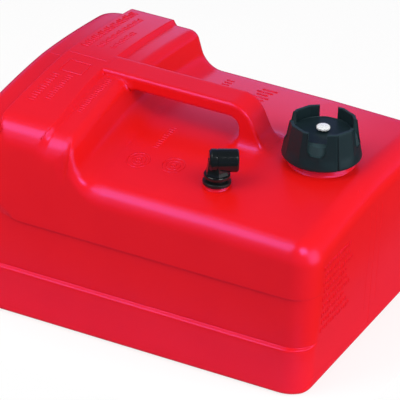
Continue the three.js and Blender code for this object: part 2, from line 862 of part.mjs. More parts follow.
// Pickup fitting stands on its pad and faces toward the filler end and the back
function pickupGroup() {
  const group = new THREE.Group();
  group.position.set(pickupX, pickup.y, padTop);
  group.rotation.z = pickup.facing * degree;
  group.add(
    piece("pickup_grommet", pickupGrommet(), "rubber"),
    piece("pickup_bush", pickupBush(), "gloss"),
    piece("pickup_elbow", pickupElbow(), "gloss"),
    piece("pickup_o_ring", stemRingSolid(), "rubber"),
    piece("pickup_clip", stemClipSolid(), "steel"),
    piece("pickup_tube", tubeSolid(), "natural"),
    piece("strainer_body", strainerBody(), "natural"),
    piece("strainer_screen", strainerScreen(), "brass"),
    piece("strainer_plug", strainerPlug(), "natural"),
  );
  return group;
}

const assembly = new THREE.Group();
assembly.add(piece("tank_shell", tankShell(), "red"), capGroup(), pickupGroup());

export default assembly;
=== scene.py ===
import math
import bmesh
import bpy
import numpy as np
from mathutils import Matrix, Vector


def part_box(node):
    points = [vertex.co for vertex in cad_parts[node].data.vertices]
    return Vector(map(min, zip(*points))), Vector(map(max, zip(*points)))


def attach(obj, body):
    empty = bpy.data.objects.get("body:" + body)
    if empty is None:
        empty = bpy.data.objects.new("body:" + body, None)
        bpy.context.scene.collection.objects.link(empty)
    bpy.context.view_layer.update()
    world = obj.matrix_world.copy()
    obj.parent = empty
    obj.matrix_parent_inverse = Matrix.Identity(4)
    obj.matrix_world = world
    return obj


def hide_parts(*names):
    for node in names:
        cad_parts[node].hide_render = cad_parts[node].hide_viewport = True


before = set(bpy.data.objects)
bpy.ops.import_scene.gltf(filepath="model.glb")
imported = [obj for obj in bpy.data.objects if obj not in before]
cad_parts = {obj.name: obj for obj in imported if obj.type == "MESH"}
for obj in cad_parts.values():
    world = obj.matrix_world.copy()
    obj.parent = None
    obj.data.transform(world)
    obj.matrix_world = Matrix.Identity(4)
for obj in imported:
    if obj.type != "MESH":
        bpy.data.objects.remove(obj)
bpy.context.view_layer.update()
mm = 0.001                                   # every size below is in millimetres, meshes are in metres
print("frame loaded:", len(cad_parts), "nodes")


# Low and high corner of a node's box, in millimetres
def boxOf(node):
    low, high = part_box(node)
    return np.array(low) / mm, np.array(high) / mm


# Smooth rise from 0 at the start to 1 at the end: 3 t squared less 2 t cubed
def smoothStep(x, start, end):
    t = np.clip((x - start) / (end - start), 0, 1)
    return t * t * (3 - 2 * t)


# Mesh object from arrays of points, quads and triangles, all in millimetres
def meshObject(name, points, quads=(), tris=(), smooth=True):
    quads = np.asarray(quads, dtype=np.int32).reshape(-1, 4)
    tris = np.asarray(tris, dtype=np.int32).reshape(-1, 3)
    mesh = bpy.data.meshes.new(name)
    mesh.vertices.add(len(points))
    mesh.vertices.foreach_set("co", (np.asarray(points, dtype=np.float64) * mm).ravel())
    corners = np.concatenate([quads.ravel(), tris.ravel()])
    mesh.loops.add(len(corners))
    mesh.loops.foreach_set("vertex_index", corners)
    sizes = np.concatenate([np.full(len(quads), 4), np.full(len(tris), 3)]).astype(np.int32)
    mesh.polygons.add(len(sizes))
    mesh.polygons.foreach_set("loop_start", np.concatenate([[0], np.cumsum(sizes)[:-1]]).astype(np.int32))
    mesh.polygons.foreach_set("use_smooth", np.full(len(sizes), smooth))
    mesh.update(calc_edges=True)
    mesh.validate()
    piece = bpy.data.objects.new(name, mesh)
    bpy.context.scene.collection.objects.link(piece)
    return piece


# Quads of a grid of rows x columns points, closed round the columns, and round the rows when asked
def gridQuads(rows, columns, closeRows):
    r = np.arange(rows if closeRows else rows - 1)[:, None]
    c = np.arange(columns)[None, :]
    r1, c1 = (r + 1) % rows, (c + 1) % columns
    corners = (r * columns + c, r * columns + c1, r1 * columns + c1, r1 * columns + c)
    return np.stack(np.broadcast_arrays(*corners), -1).reshape(-1, 4)


# Six times the volume inside rings of points, negative when their faces point inwards
def ringVolume(rings, closeRows=False):
    middle = rings.reshape(-1, 3).mean(0)
    after = np.roll(rings, -1, 0) if closeRows else rings[1:]
    before = rings if closeRows else rings[:-1]
    a, b = before - middle, np.roll(before, -1, 1) - middle
    c, d = np.roll(after, -1, 1) - middle, after - middle
    total = (np.cross(a, b) * c).sum() + (np.cross(a, c) * d).sum()
    if not closeRows:
        first, last = rings[0] - middle, rings[-1] - middle
        total += (np.cross(last, np.roll(last, -1, 0)) * last.mean(0)).sum()
        total -= (np.cross(first, np.roll(first, -1, 0)) * first.mean(0)).sum()
    return total


# Shells through rings of points, arrays (rings, points, 3): a middle point closes each end, or the rows close
class Shell:
    def __init__(self):
        self.points, self.quads, self.tris, self.count = [], [], [], 0

    def add(self, points, quads=(), tris=()):
        self.points.append(points)
        self.quads.append(np.asarray(quads, dtype=int).reshape(-1, 4) + self.count)
        self.tris.append(np.asarray(tris, dtype=int).reshape(-1, 3) + self.count)
        self.count += len(points)

    def rings(self, rings, closeRows=False):
        if ringVolume(rings, closeRows) < 0:
            rings = rings[:, ::-1]
        rows, columns = rings.shape[:2]
        points = rings.reshape(-1, 3)
        quads = gridQuads(rows, columns, closeRows)
        if closeRows:
            self.add(points, quads)
            return
        first, last = len(points), len(points) + 1
        c = np.arange(columns)
        c1 = (c + 1) % columns
        startFan = np.stack([np.full(columns, first), c1, c], -1)
        endFan = np.stack([np.full(columns, last), c + (rows - 1) * columns, c1 + (rows - 1) * columns], -1)
        middles = np.stack([rings[0].mean(0), rings[-1].mean(0)])
        self.add(np.concatenate([points, middles]), quads, np.concatenate([startFan, endFan]))

    def object(self, name):
        return meshObject(name, *(np.concatenate(part) for part in (self.points, self.quads, self.tris)))


def solid(name, rings, closeRows=False):
    shell = Shell()
    shell.rings(rings, closeRows)
    return shell.object(name)


# Line of (x, z, radius) corners with each corner rounded by an arc, and long stretches cut into steps
def roundedLine(corners, longest=2.4, arcSteps=14):
    corners = [tuple(c) + (0,) * (3 - len(c)) for c in corners]
    line = [np.array(corners[0][:2])]
    for i in range(1, len(corners) - 1):
        here = np.array(corners[i][:2])
        back = np.array(corners[i - 1][:2]) - here
        ahead = np.array(corners[i + 1][:2]) - here
        backLength, aheadLength = np.linalg.norm(back), np.linalg.norm(ahead)
        back, ahead = back / backLength, ahead / aheadLength
        half = math.acos(np.clip(back @ ahead, -1, 1)) / 2
        if not corners[i][2]:
            line.append(here)
            continue
        reach = min(corners[i][2] / math.tan(half), backLength / 2, aheadLength / 2)
        radius = reach * math.tan(half)
        middle = (back + ahead) / np.linalg.norm(back + ahead)
        centre = here + middle * radius / math.sin(half)
        a = here + back * reach - centre
        b = here + ahead * reach - centre
        sweep = math.atan2(a[0] * b[1] - a[1] * b[0], a @ b)
        turn = np.linspace(0, sweep, arcSteps + 1)
        arc = np.stack([a[0] * np.cos(turn) - a[1] * np.sin(turn), a[0] * np.sin(turn) + a[1] * np.cos(turn)], -1)
        line.extend(centre + arc)
    line.append(np.array(corners[-1][:2]))
    fine = [line[0]]
    for a, b in zip(line[:-1], line[1:]):
        steps = max(1, math.ceil(np.linalg.norm(b - a) / longest))
        fine.extend(a + (b - a) * k / steps for k in range(1, steps + 1))
    return np.array(fine)


# Turned surface: a profile of (radius, height) points carried round the Z axis at (x, y)
def turnedRings(profile, x=0, y=0, around=96):
    angle = np.linspace(0, 2 * math.pi, around, endpoint=False)
    radius, height = profile[:, 0][:, None], profile[:, 1][:, None]
    return np.stack([x + radius * np.cos(angle), y + radius * np.sin(angle), height + 0 * angle], -1)


# Several objects as one, which takes the name
def joined(name, pieces):
    bpy.ops.object.select_all(action="DESELECT")
    for piece in pieces:
        piece.select_set(True)
    bpy.context.view_layer.objects.active = pieces[0]
    bpy.ops.object.join()
    pieces[0].name = name
    pieces[0].data.name = name
    return pieces[0]


# Cuts other solids out of a piece and keeps the result as its mesh
def carve(piece, cutters):
    for cutter in cutters:
        cut = piece.modifiers.new("cut", "BOOLEAN")
        cut.operation = "DIFFERENCE"
        cut.solver = "MANIFOLD"
        cut.object = cutter
    bpy.context.view_layer.update()
    finished = bpy.data.meshes.new_from_object(piece.evaluated_get(bpy.context.evaluated_depsgraph_get()))
    piece.modifiers.clear()
    piece.data = finished
    for cutter in cutters:
        bpy.data.objects.remove(cutter)


# Tank body: sections across the length, set side by side along the top line
halfLength, halfWidth, blockTop = boxOf("tank_shell")[1]
tank = {
    "wall": 4.0, "cornerRadius": 25.0, "baseRound": 6.5, "topRound": 13.0, "endLean": 2.6,
    "deck": blockTop - 41.3, "deckDroop": 2.5, "droopLength": 110.0,
    "crownFall": 13.5, "crownPower": 1.6, "crownMiddle": 26.0,
    "skirtTop": 48.4, "skirtRound": 2.4, "skirtMargin": 4.0,
    "ledgeRise": 1.6, "ledgeDepth": 4.0, "ledgeCorner": 1.0,
    "creaseHeight": 101.6, "creaseDepth": 2.1, "creaseRun": 0.9, "creaseCorner": 28.0, "creaseMargin": 2.4,
    "stripWidth": 31.0, "stripDrop": 7.0, "stripRiserRun": 1.5, "stepRound": 1.2, "riserRound": 1.92,
    "mainWidth": 46.0, "riserRun": 3.4,
    "shelfDrop": 5.0, "shelfWidth": 23.0, "shelfInset": 0.8, "shelfRise": 26.0,
    "wallAngle": 73.0, "wallRound": 12.0, "footRound": 23.0,
    "endRound": 24.0, "backRound": 13.0, "frontRound": 17.5,         # edges of the top, the front one at the deck
    "blockEdge": 22.0, "wallEdge": 9.5, "blockEdgeEnd": 5.0, "wallEdgeEnd": 2.0, "frontRoundStart": 26.0,
    "edgeAbove": 8.0, "edgeBand": 55.0,
    "drift": 5.5, "footDrift": 4.5, "driftInset": 6.0, "driftRun": 50.0, "driftFrom": (22, 128),
}
deck = tank["deck"]
panelStart = -halfLength + tank["stripWidth"]
riserStart = panelStart + tank["mainWidth"]
shelfEnd = riserStart + tank["riserRun"] + tank["shelfWidth"]
wallSlope = math.tan(math.radians(tank["wallAngle"]))
wallFoot = shelfEnd + (blockTop - tank["shelfDrop"] - deck) / wallSlope
stepDrift = np.array([
    (panelStart + tank["driftInset"], 0), (riserStart - tank["driftInset"], tank["drift"]),
    (shelfEnd, tank["drift"]), (wallFoot, tank["footDrift"]), (wallFoot + tank["driftRun"], 0),
]).T
frontRoundAt = np.array([
    (shelfEnd - tank["blockEdgeEnd"], tank["blockEdge"]), (shelfEnd, tank["wallEdge"]),
    (wallFoot + tank["wallEdgeEnd"], tank["wallEdge"]), (wallFoot + tank["frontRoundStart"], tank["frontRound"]),
]).T


# Corners of the top along the middle plane, from the strip to the deck
def topCorners():
    strip, shelf = blockTop - tank["stripDrop"], blockTop - tank["shelfDrop"]
    return [
        (panelStart - tank["stripRiserRun"], strip, tank["stepRound"]), (panelStart, blockTop, tank["stepRound"]),
        (riserStart, blockTop, tank["riserRound"]), (riserStart + tank["riserRun"], shelf, tank["riserRound"]),
        (shelfEnd, shelf, tank["wallRound"]), (wallFoot, deck, tank["footRound"]),
        (halfLength - tank["droopLength"], deck, halfLength),
    ]


def betweenEnds(line, end):
    first, last = np.flatnonzero(np.abs(line[:, 0]) < end - 1e-6)[[0, -1]]
    return line[first - 1:last + 2]


# Top line from one end face to the other, with the rounds of both
def outerTopLine():
    corners = [(-halfLength, deck / 2), (-halfLength, blockTop - tank["stripDrop"], tank["topRound"])]
    corners += topCorners() + [(halfLength, deck - tank["deckDroop"], tank["endRound"]), (halfLength, deck / 2)]
    return betweenEnds(roundedLine(corners), halfLength)


# The same line a wall further in, in fewer steps, straight under the strip, the block and the shelf
def innerTopLine():
    wall = tank["wall"]
    end, under, floor = halfLength - wall, blockTop - tank["stripDrop"] - wall, deck - wall
    foot = wallFoot - wall / math.sin(math.radians(tank["wallAngle"])) + wall / wallSlope
    return betweenEnds(roundedLine([
        (-end, deck / 2), (-end, under, tank["topRound"] - wall),
        (foot - (under - floor) / wallSlope, under, tank["wallRound"] - wall),
        (foot, floor, tank["footRound"] + wall),
        (halfLength - tank["droopLength"], floor), (end, floor - tank["deckDroop"], tank["endRound"] - wall),
        (end, deck / 2),
    ], longest=14, arcSteps=8), end)


# The same line drawn on past both ends without their rounds, and closed well below
def openTopLine():
    past = 60
    fall = tank["deckDroop"] * (tank["droopLength"] + past) / tank["droopLength"]
    corners = [(-halfLength - past, blockTop - tank["stripDrop"])] + topCorners()
    line = roundedLine(corners + [(halfLength + past, deck - fall)])
    return np.concatenate([line, [[halfLength + past, -past], [-halfLength - past, -past]]])


topLine, openTop = outerTopLine(), openTopLine()


# The crown: the top falls with a power of the distance from the middle plane
def fallAt(y):
    return tank["crownFall"] * (np.abs(y) / halfWidth) ** tank["crownPower"]


def fallSlope(y):
    return tank["crownPower"] * fallAt(y) / np.maximum(np.abs(y), 1e-6)


# Height of the crowned top at a point of the plan
def topAt(x, y):
    return np.interp(x, topLine[:, 0], topLine[:, 1]) - fallAt(y)


# Raised front panel: 1 inside it, 0 outside, its outline a line below, a line at the strip and an arc between
def panelShare(x, z):
    across, up, corner = x - panelStart, z - tank["creaseHeight"], tank["creaseCorner"]
    inCorner = corner - np.hypot(np.maximum(corner - across, 0), np.maximum(corner - up, 0))
    depth = np.where((across < corner) & (up < corner), inCorner, np.minimum(across, up))
    return smoothStep(depth, -tank["creaseRun"] / 2, tank["creaseRun"] / 2)


# Half width of the plan at x, which narrows over the corners
def planHalf(x, inset=0.0):
    radius = tank["cornerRadius"] - inset
    past = np.maximum(0, np.abs(x) - (halfLength - inset - radius))
    return halfWidth - inset - radius + np.sqrt(np.maximum(0, radius ** 2 - past ** 2))


# Signed distance of points (x, z) to a closed outline in the side view, below 0 inside it
def outlineDistance(outline, x, z):
    a, b = outline, np.roll(outline, -1, 0)
    edge = b - a
    q = np.stack([x, z], -1)[:, None, :] - a[None]
    t = np.clip((q * edge).sum(-1) / np.maximum((edge ** 2).sum(-1), 1e-9), 0, 1)
    distance = np.sqrt((((q - t[..., None] * edge) ** 2).sum(-1)).min(1))
    crosses = (a[:, 1] > z[:, None]) != (b[:, 1] > z[:, None])
    at = a[:, 0] + (z[:, None] - a[:, 1]) * edge[:, 0] / np.where(edge[:, 1] == 0, 1, edge[:, 1])
    inside = (crosses & (x[:, None] < at)).sum(1) % 2 == 1
    return np.where(inside, -distance, distance)


# Distance to where two solids overlap, with the edge rounded: a and b are their distances less the round's radius
def roundJoin(a, b, radius):
    return np.hypot(np.maximum(a, 0), np.maximum(b, 0)) + np.minimum(np.maximum(a, b), 0) - radius


# Distance to the body with its top edges rounded: distance to the top and to the plan's outline, joined by an arc
def edgeField(p):
    x, y, z = p.T
    top = outlineDistance(openTop, x, z + fallAt(y)) / np.sqrt(1 + fallSlope(y) ** 2)
    corner = tank["cornerRadius"]
    pastEnd = np.abs(x) - (halfLength - corner)
    pastSide = np.abs(y) - sideOffset(x, z) - (halfWidth - corner)
    side = roundJoin(pastEnd, pastSide, corner)
    endPart, sidePart = np.maximum(pastEnd, 0.01) ** 2, np.maximum(pastSide, 0.01) ** 2
    share = endPart / (endPart + sidePart)
    end = np.where(x < 0, tank["topRound"], tank["endRound"])
    radius = share * end + (1 - share) * np.where(y < 0, np.interp(x, *frontRoundAt), tank["backRound"])
    return roundJoin(top + radius, side + radius, radius)


# Moves points onto a surface along the slope of its distance, and leaves those that would go too far
def settled(points, field, reach=14.0, rounds=5, step=0.05):
    start = points.copy()
    for _ in range(rounds):
        slope = np.stack([field(points + s) - field(points - s) for s in step * np.eye(3)], -1) / (2 * step)
        points = points - (field(points) / np.maximum((slope ** 2).sum(1), 0.05))[:, None] * slope
    far = np.linalg.norm(points - start, axis=1) > reach
    points[far] = start[far]
    return points


# Settles the points near the top's edges, above the crease, on the body with rounded edges
def roundedEdges(rings):
    p = rings.reshape(-1, 3).copy()
    x, y, z = np.abs(p).T
    chosen = (z > tank["creaseHeight"] + tank["edgeAbove"]) & (y > halfWidth - tank["edgeBand"])
    chosen &= x < halfLength - 0.05
    p[chosen] = settled(p[chosen], edgeField)
    return p.reshape(rings.shape)


# 1 on the shelf beside the block, 0 below the deck and on the block, with smooth steps between
def shelfShare(x, z):
    return smoothStep(x, riserStart, riserStart + tank["riserRun"]) * smoothStep(z, deck, deck + tank["shelfRise"])


# How far the side stands out past the plan's outline: in above the ledge, out again on the panel, in at the shelf
def sideOffset(x, z):
    return -tank["ledgeDepth"] + tank["creaseDepth"] * panelShare(x, z) - tank["shelfInset"] * shelfShare(x, z)


# Share by which the end faces lean in: most at the floor, none from the end's round up
def leanAt(z):
    full = deck - tank["deckDroop"] - tank["topRound"]
    return tank["endLean"] / halfLength * np.maximum(0, 1 - z / full)


# Leans the end faces, and bends the block's steps toward the deck on their way from the handle to the front edge
def leaned(points):
    across = np.interp(points[..., 0], *stepDrift) * smoothStep(-points[..., 1], *tank["driftFrom"])
    points[..., 0] += across * smoothStep(points[..., 2], tank["creaseHeight"], deck)
    points[..., 0] *= 1 - leanAt(points[..., 2])
    return points


# Rings of the body: bottom, base round, skirt, ledge, panel, top round and crown, then the same mirrored
def bodyRings(line, inset=0.0):
    plain = inset > 0
    x, top = line[:, 0][:, None], line[:, 1][:, None]
    half = planHalf(x, inset)
    baseRound, topRound = tank["baseRound"] - inset, tank["frontRound" if plain else "topRound"] - inset
    pastBase = np.maximum(0, np.abs(x) - (halfLength - inset - baseRound))
    bottom = inset + baseRound - np.sqrt(np.maximum(0, baseRound ** 2 - pastBase ** 2))
    ys, zs = [], []

    def put(y, z):
        y, z = np.broadcast_arrays(y, z)
        ys.append(y + 0 * x)
        zs.append(z + 0 * x)

    flat = np.linspace(0, 1, 4 if plain else 7)[None, :-1]
    put((half - baseRound) * flat, bottom)
    turn = np.linspace(0, math.pi / 2, 4 if plain else 8)[None, :]
    put(half - baseRound + baseRound * np.sin(turn), bottom + baseRound * (1 - np.cos(turn)))
    skirtEnd = tank["skirtTop"] - tank["skirtMargin"]
    rise = np.linspace(0, 1, 5)[None, 1:]
    put(half, bottom + baseRound + (skirtEnd - bottom - baseRound) * rise)
    ledge = roundedLine([
        (0, skirtEnd), (0, tank["skirtTop"], tank["skirtRound"]),
        (-tank["ledgeDepth"], tank["skirtTop"] + tank["ledgeRise"], tank["ledgeCorner"]),
        (-tank["ledgeDepth"], tank["skirtTop"] + tank["ledgeRise"] + tank["skirtMargin"]),
    ], longest=2, arcSteps=2 if plain else 6)[1:]
    put(half + ledge[None, :, 0], ledge[None, :, 1])
    bandTop = tank["creaseHeight"] - tank["creaseMargin"]
    band = np.linspace(ledge[-1, 1], bandTop, 5)[None, 1:]
    put(half - tank["ledgeDepth"], band)
    crease = np.linspace(bandTop, bandTop + 2 * tank["creaseMargin"], 3 if plain else 13)[None, 1:]
    put(half + sideOffset(x, crease), crease)
    panel = half + sideOffset(x, top - topRound)
    start = panel - topRound
    for _ in range(3):
        slant = np.arctan(fallSlope(start))
        start = panel - topRound + topRound * np.sin(slant)
    centreZ = top - fallAt(start) - topRound * np.cos(slant)
    up = np.linspace(0, 1, 4 if plain else 19)[None, 1:]
    panelZ = crease[0, -1] + (centreZ - crease[0, -1]) * up
    put(half + sideOffset(x, panelZ), panelZ)
    arc = np.linspace(0, 1, 5 if plain else 13)[None, 1:] * (math.pi / 2 - slant)
    put(panel - topRound + topRound * np.cos(arc), centreZ + topRound * np.sin(arc))
    near = tank["crownMiddle"]
    outerCrown = np.linspace(1, 0, 5 if plain else 17)[None, 1:]
    innerCrown = np.linspace(near, 0, 4 if plain else 19)[None, 1:]
    crown = near + (start - near) * outerCrown
    put(crown, top - fallAt(crown))
    put(innerCrown, top - fallAt(innerCrown))
    y, z = np.concatenate(ys, 1), np.concatenate(zs, 1)
    y = np.concatenate([y, -y[:, -2:0:-1]], 1)
    z = np.concatenate([z, z[:, -2:0:-1]], 1)
    rings = np.stack([x + 0 * y, y, z], -1)
    rings = leaned(rings if plain else roundedEdges(rings))
    shrink = np.array([0.97, 0.9, 0.8, 0.68, 0.54, 0.4, 0.26, 0.13])[:, None, None]
    caps = [ring.mean(0) + shrink * (ring - ring.mean(0)) for ring in (rings[0], rings[-1])]
    return np.concatenate([caps[0][::-1], rings, caps[1]])


# Handle: a bar and a leg between an outer and an inner line, rounded across
handle = {
    "width": 32.0, "thickness": 14.0, "innerX": 41.0, "outerX": 46.3, "legAngle": 63.4,
    "outerRound": 26.0, "innerRound": 11.0, "edgeRound": 3.3, "points": (60, 30, 30),
    "rootX": riserStart - 6, "rootSink": 0.8, "below": 9.0,
    "blendAt": [riserStart - 1, riserStart + 4, shelfEnd - 6, wallFoot - 2, wallFoot + 18],
    "blend": [0.02, 2.4, 3.0, 10.0, 13.0], "blendEnd": 95.0, "blendHalf": 40.0, "blendBelow": 14.0,
}


# A line spread anew over its bar, its bend and its leg, each with its own number of points
def spread(line):
    steps = np.diff(line, axis=0)
    sizes = np.linalg.norm(steps, axis=1)
    length = np.concatenate([[0], np.cumsum(sizes)])
    onBar = np.abs(line[:, 1] - line[:, 1].max()) < 1e-3
    onLeg = (steps / sizes[:, None]) @ (steps[-1] / sizes[-1]) > 1 - 1e-6
    ends = [0, length[np.flatnonzero(onBar)[-1]], length[np.flatnonzero(~onLeg)[-1] + 1], length[-1]]
    place = [np.linspace(a, b, n, endpoint=False) for a, b, n in zip(ends, ends[1:], handle["points"])]
    place = np.concatenate(place + [ends[-1:]])
    return np.stack([np.interp(place, length, line[:, k]) for k in range(2)], -1)


# Outer and inner line of the handle in the side view, and both as one closed outline
def handleLines():
    root, low = handle["rootX"], deck - handle["below"]
    under = blockTop - handle["thickness"]
    slope = math.tan(math.radians(handle["legAngle"]))
    outer = roundedLine([
        (root, blockTop - handle["rootSink"]), (riserStart + 1, blockTop),
        (handle["outerX"], blockTop, handle["outerRound"]), (handle["outerX"] + (blockTop - low) / slope, low),
    ], longest=1.2, arcSteps=24)
    inner = roundedLine([
        (root, under), (handle["innerX"], under, handle["innerRound"]), (handle["innerX"], low),
    ], longest=1.2, arcSteps=24)
    return spread(outer), spread(inner), np.concatenate([outer, inner[::-1]])


handleOuter, handleInner, handleOutline = handleLines()


# Rounded rectangle across the handle at each place of its two lines
def handleRings():
    middle = (handleOuter + handleInner) / 2
    across = (handleOuter - handleInner) / 2
    half = np.linalg.norm(across, axis=1)[:, None]
    across = across / half
    width, edge = handle["width"] / 2, handle["edgeRound"]
    turn = np.linspace(0, math.pi / 2, 7)
    sides = np.linspace(-1, 1, 9)[1:-1]
    b = [width - edge + edge * np.cos(turn)]
    a = [half - edge + edge * np.sin(turn)[None, :]]
    b.append(-sides * (width - edge))
    a.append(half + 0 * sides[None, :])
    b.append(-(width - edge) - edge * np.sin(turn))
    a.append(half - edge + edge * np.cos(turn)[None, :])
    b.append(np.full(5, -width))
    a.append(np.linspace(1, -1, 7)[None, 1:-1] * (half - edge))
    upB, upA = np.concatenate(b), np.concatenate(a, 1)
    ringB, ringA = np.concatenate([upB, -upB]), np.concatenate([upA, -upA], 1)
    x = middle[:, :1] + across[:, :1] * ringA
    z = middle[:, 1:] + across[:, 1:] * ringA
    return np.stack([x, ringB[None, :] + 0 * x, z], -1)


# Distance to the handle: distance to its outline in the side view, rounded with its half width
def handleField(p):
    flat = outlineDistance(handleOutline, p[:, 0], p[:, 2]) + handle["edgeRound"]
    return roundJoin(flat, np.abs(p[:, 1]) - handle["width"] / 2 + handle["edgeRound"], handle["edgeRound"])


topSlope = np.gradient(topLine[:, 1], np.maximum.accumulate(topLine[:, 0] + 1e-7 * np.arange(len(topLine))))


# Distance to the crowned top: height above it, shortened on the slopes
def topField(p):
    slope = np.clip(np.interp(p[:, 0], topLine[:, 0], topSlope), -4, 4)
    return (p[:, 2] - topAt(p[:, 0], p[:, 1])) / np.sqrt(1 + slope ** 2)


# Soft union of the top and the handle: the lesser distance, lowered where the two are alike
def blendedField(p):
    a, b = topField(p), handleField(p)
    k = np.interp(p[:, 0], handle["blendAt"], handle["blend"])
    h = np.maximum(k - np.abs(a - b), 0) / k
    return np.minimum(a, b) - h * h * k / 4


# Moves points on the top or the handle onto the soft union of both, which is their fillet
def filleted(points, otherField):
    p = points.reshape(-1, 3)
    k = np.interp(p[:, 0], handle["blendAt"], handle["blend"])
    reach = (handle["rootX"] < p[:, 0]) & (p[:, 0] < handle["blendEnd"])
    reach &= (np.abs(p[:, 1]) < handle["blendHalf"]) & (p[:, 2] > deck - handle["blendBelow"])
    chosen = np.flatnonzero(reach)
    other = otherField(p[chosen])
    chosen = chosen[(other < k[chosen]) & (other > -0.5 * k[chosen])]
    p[chosen] = settled(p[chosen], blendedField, reach=20)
    return p.reshape(points.shape)


# Filler neck with its boss, and the pad of the pickup: turned profiles whose feet follow the crown
gripLow, gripHigh = boxOf("cap_grip")
neckX = (gripLow[0] + gripHigh[0]) / 2
neck = {
    "bore": 23.5, "wall": 3.0, "height": 21.8, "rimRound": 0.6, "footRound": 0.8, "below": 3.0,
    "bossRadius": 30.2, "bossHeight": 3.0, "bossRound": 0.9, "bossDraft": 0.4,
    "toe": 1.0, "toeHeight": 0.35, "flare": 2.2, "flareRound": 1.0, "flareSink": 0.25,
    "follow": (-1.5, 3.0), "cut": (-8.0, 4.0),
    "pitch": 6.0, "threadDepth": 1.7, "threadRoot": 1.5, "turns": 1.75, "topInset": 4.0,
}
bushLow, bushHigh = boxOf("pickup_bush")
pickupX, pickupY = (bushLow[:2] + bushHigh[:2]) / 2
pad = {
    "hole": 9.7, "radius": 11.2, "rise": 2.0, "round": 0.5, "toe": 0.7, "toeHeight": 0.25, "flare": 1.2,
    "flareRound": 0.5, "flareSink": 0.2, "below": 6.0, "follow": (-2.0, 4.0), "cut": (-10.0, 2.0),
}
padTop = topAt(pickupX, pickupY) + pad["rise"]


# Lets rings outside a foot's edge follow the crown: they rise by the top's height there less the foot's level
def followed(rings, x, y, level, foot, edge):
    reach = np.hypot(rings[..., 0] - x, rings[..., 1] - y)
    near, far = foot["follow"]
    rings[..., 2] += (topAt(rings[..., 0], rings[..., 1]) - level) * smoothStep(reach, edge + near, edge + far)
    return rings


# Neck, boss and flared foot: one closed profile turned round the neck's axis
def neckRings():
    low, boss, rim = deck - neck["below"], deck + neck["bossHeight"], deck + neck["height"]
    outside, edge = neck["bore"] + neck["wall"], neck["bossRadius"]
    profile = roundedLine([
        (neck["bore"], low), (neck["bore"], rim, neck["rimRound"]), (outside, rim, neck["rimRound"]),
        (outside, boss, neck["footRound"]), (edge - neck["bossDraft"], boss, neck["bossRound"]),
        (edge + neck["toe"], deck + neck["toeHeight"], neck["flareRound"]),
        (edge + neck["flare"], deck - neck["flareSink"]), (edge + neck["flare"], low),
    ], longest=3, arcSteps=6)
    return followed(turnedRings(profile, neckX, 0, 128), neckX, 0, deck, neck, edge)


# Pad round the pickup's hole: the same kind of profile, round the pickup's axis
def padRings():
    low, foot, edge = padTop - pad["below"], padTop - pad["rise"], pad["radius"]
    profile = roundedLine([
        (pad["hole"], low), (pad["hole"], padTop, pad["round"]), (edge, padTop, pad["round"]),
        (edge + pad["toe"], foot + pad["toeHeight"], pad["flareRound"]),
        (edge + pad["flare"], foot - pad["flareSink"]), (edge + pad["flare"], low),
    ], longest=3, arcSteps=7)
    return followed(turnedRings(profile, pickupX, pickupY), pickupX, pickupY, foot, pad, edge)


# Thread: a section of (reach, rise) shares carried up a helix of the pitch, fading out at both ends
def threadRings():
    share = np.linspace(0, 1, 141)[:, None]
    fade = smoothStep(np.minimum(share, 1 - share), -0.01, 0.06)
    reach = np.array([[-0.6, 0.1, 0.75, 1.0, 1.0, 0.75, 0.1, -0.6]])
    rise = np.array([[-1.0, -1.0, -0.5, -0.3, 0.3, 0.5, 1.0, 1.0]]) * neck["threadRoot"]
    radius = neck["bore"] + neck["wall"] + np.where(reach > 0, reach * fade, reach) * neck["threadDepth"]
    climb = neck["pitch"] * neck["turns"]
    height = deck + neck["height"] - neck["topInset"] - climb + climb * share + rise
    angle = 2 * math.pi * neck["turns"] * share
    return np.stack([neckX + radius * np.cos(angle), radius * np.sin(angle), height], -1)


# Straight round cutter, a little wider than the hole and past both sides of the wall
def drill(name, hole, level, cut, x, y, around):
    profile = np.array([(hole + 0.1, level + end) for end in cut])
    return solid(name, turnedRings(profile, x, y, around))


# The body less its hollow and its two holes, with the handle, neck, pad, thread and relief set into it
def tankSkin():
    skin = solid("tankSkin", filleted(bodyRings(topLine), handleField))
    hollow = solid("hollow", bodyRings(innerTopLine(), tank["wall"]))
    bore = drill("bore", neck["bore"], deck, neck["cut"], neckX, 0, 96)
    hole = drill("hole", pad["hole"], padTop, pad["cut"], pickupX, pickupY, 64)
    carve(skin, [hollow, bore, hole])
    extra = Shell()
    extra.rings(filleted(handleRings(), topField))
    extra.rings(neckRings(), closeRows=True)
    extra.rings(padRings(), closeRows=True)
    extra.rings(threadRings())
    addRelief(extra)
    return joined("tankSkin", [skin, extra.object("fittings")])


# Relief: plain raised bars and rings on the top or on the end face, as (u, v) places and a height over them
def onTop(u, v, h):
    return np.stack([u, v, topAt(u, v) + h], -1)


def onEnd(u, v, h):
    return np.stack([halfLength * (1 - leanAt(v)) + h, u, v], -1)


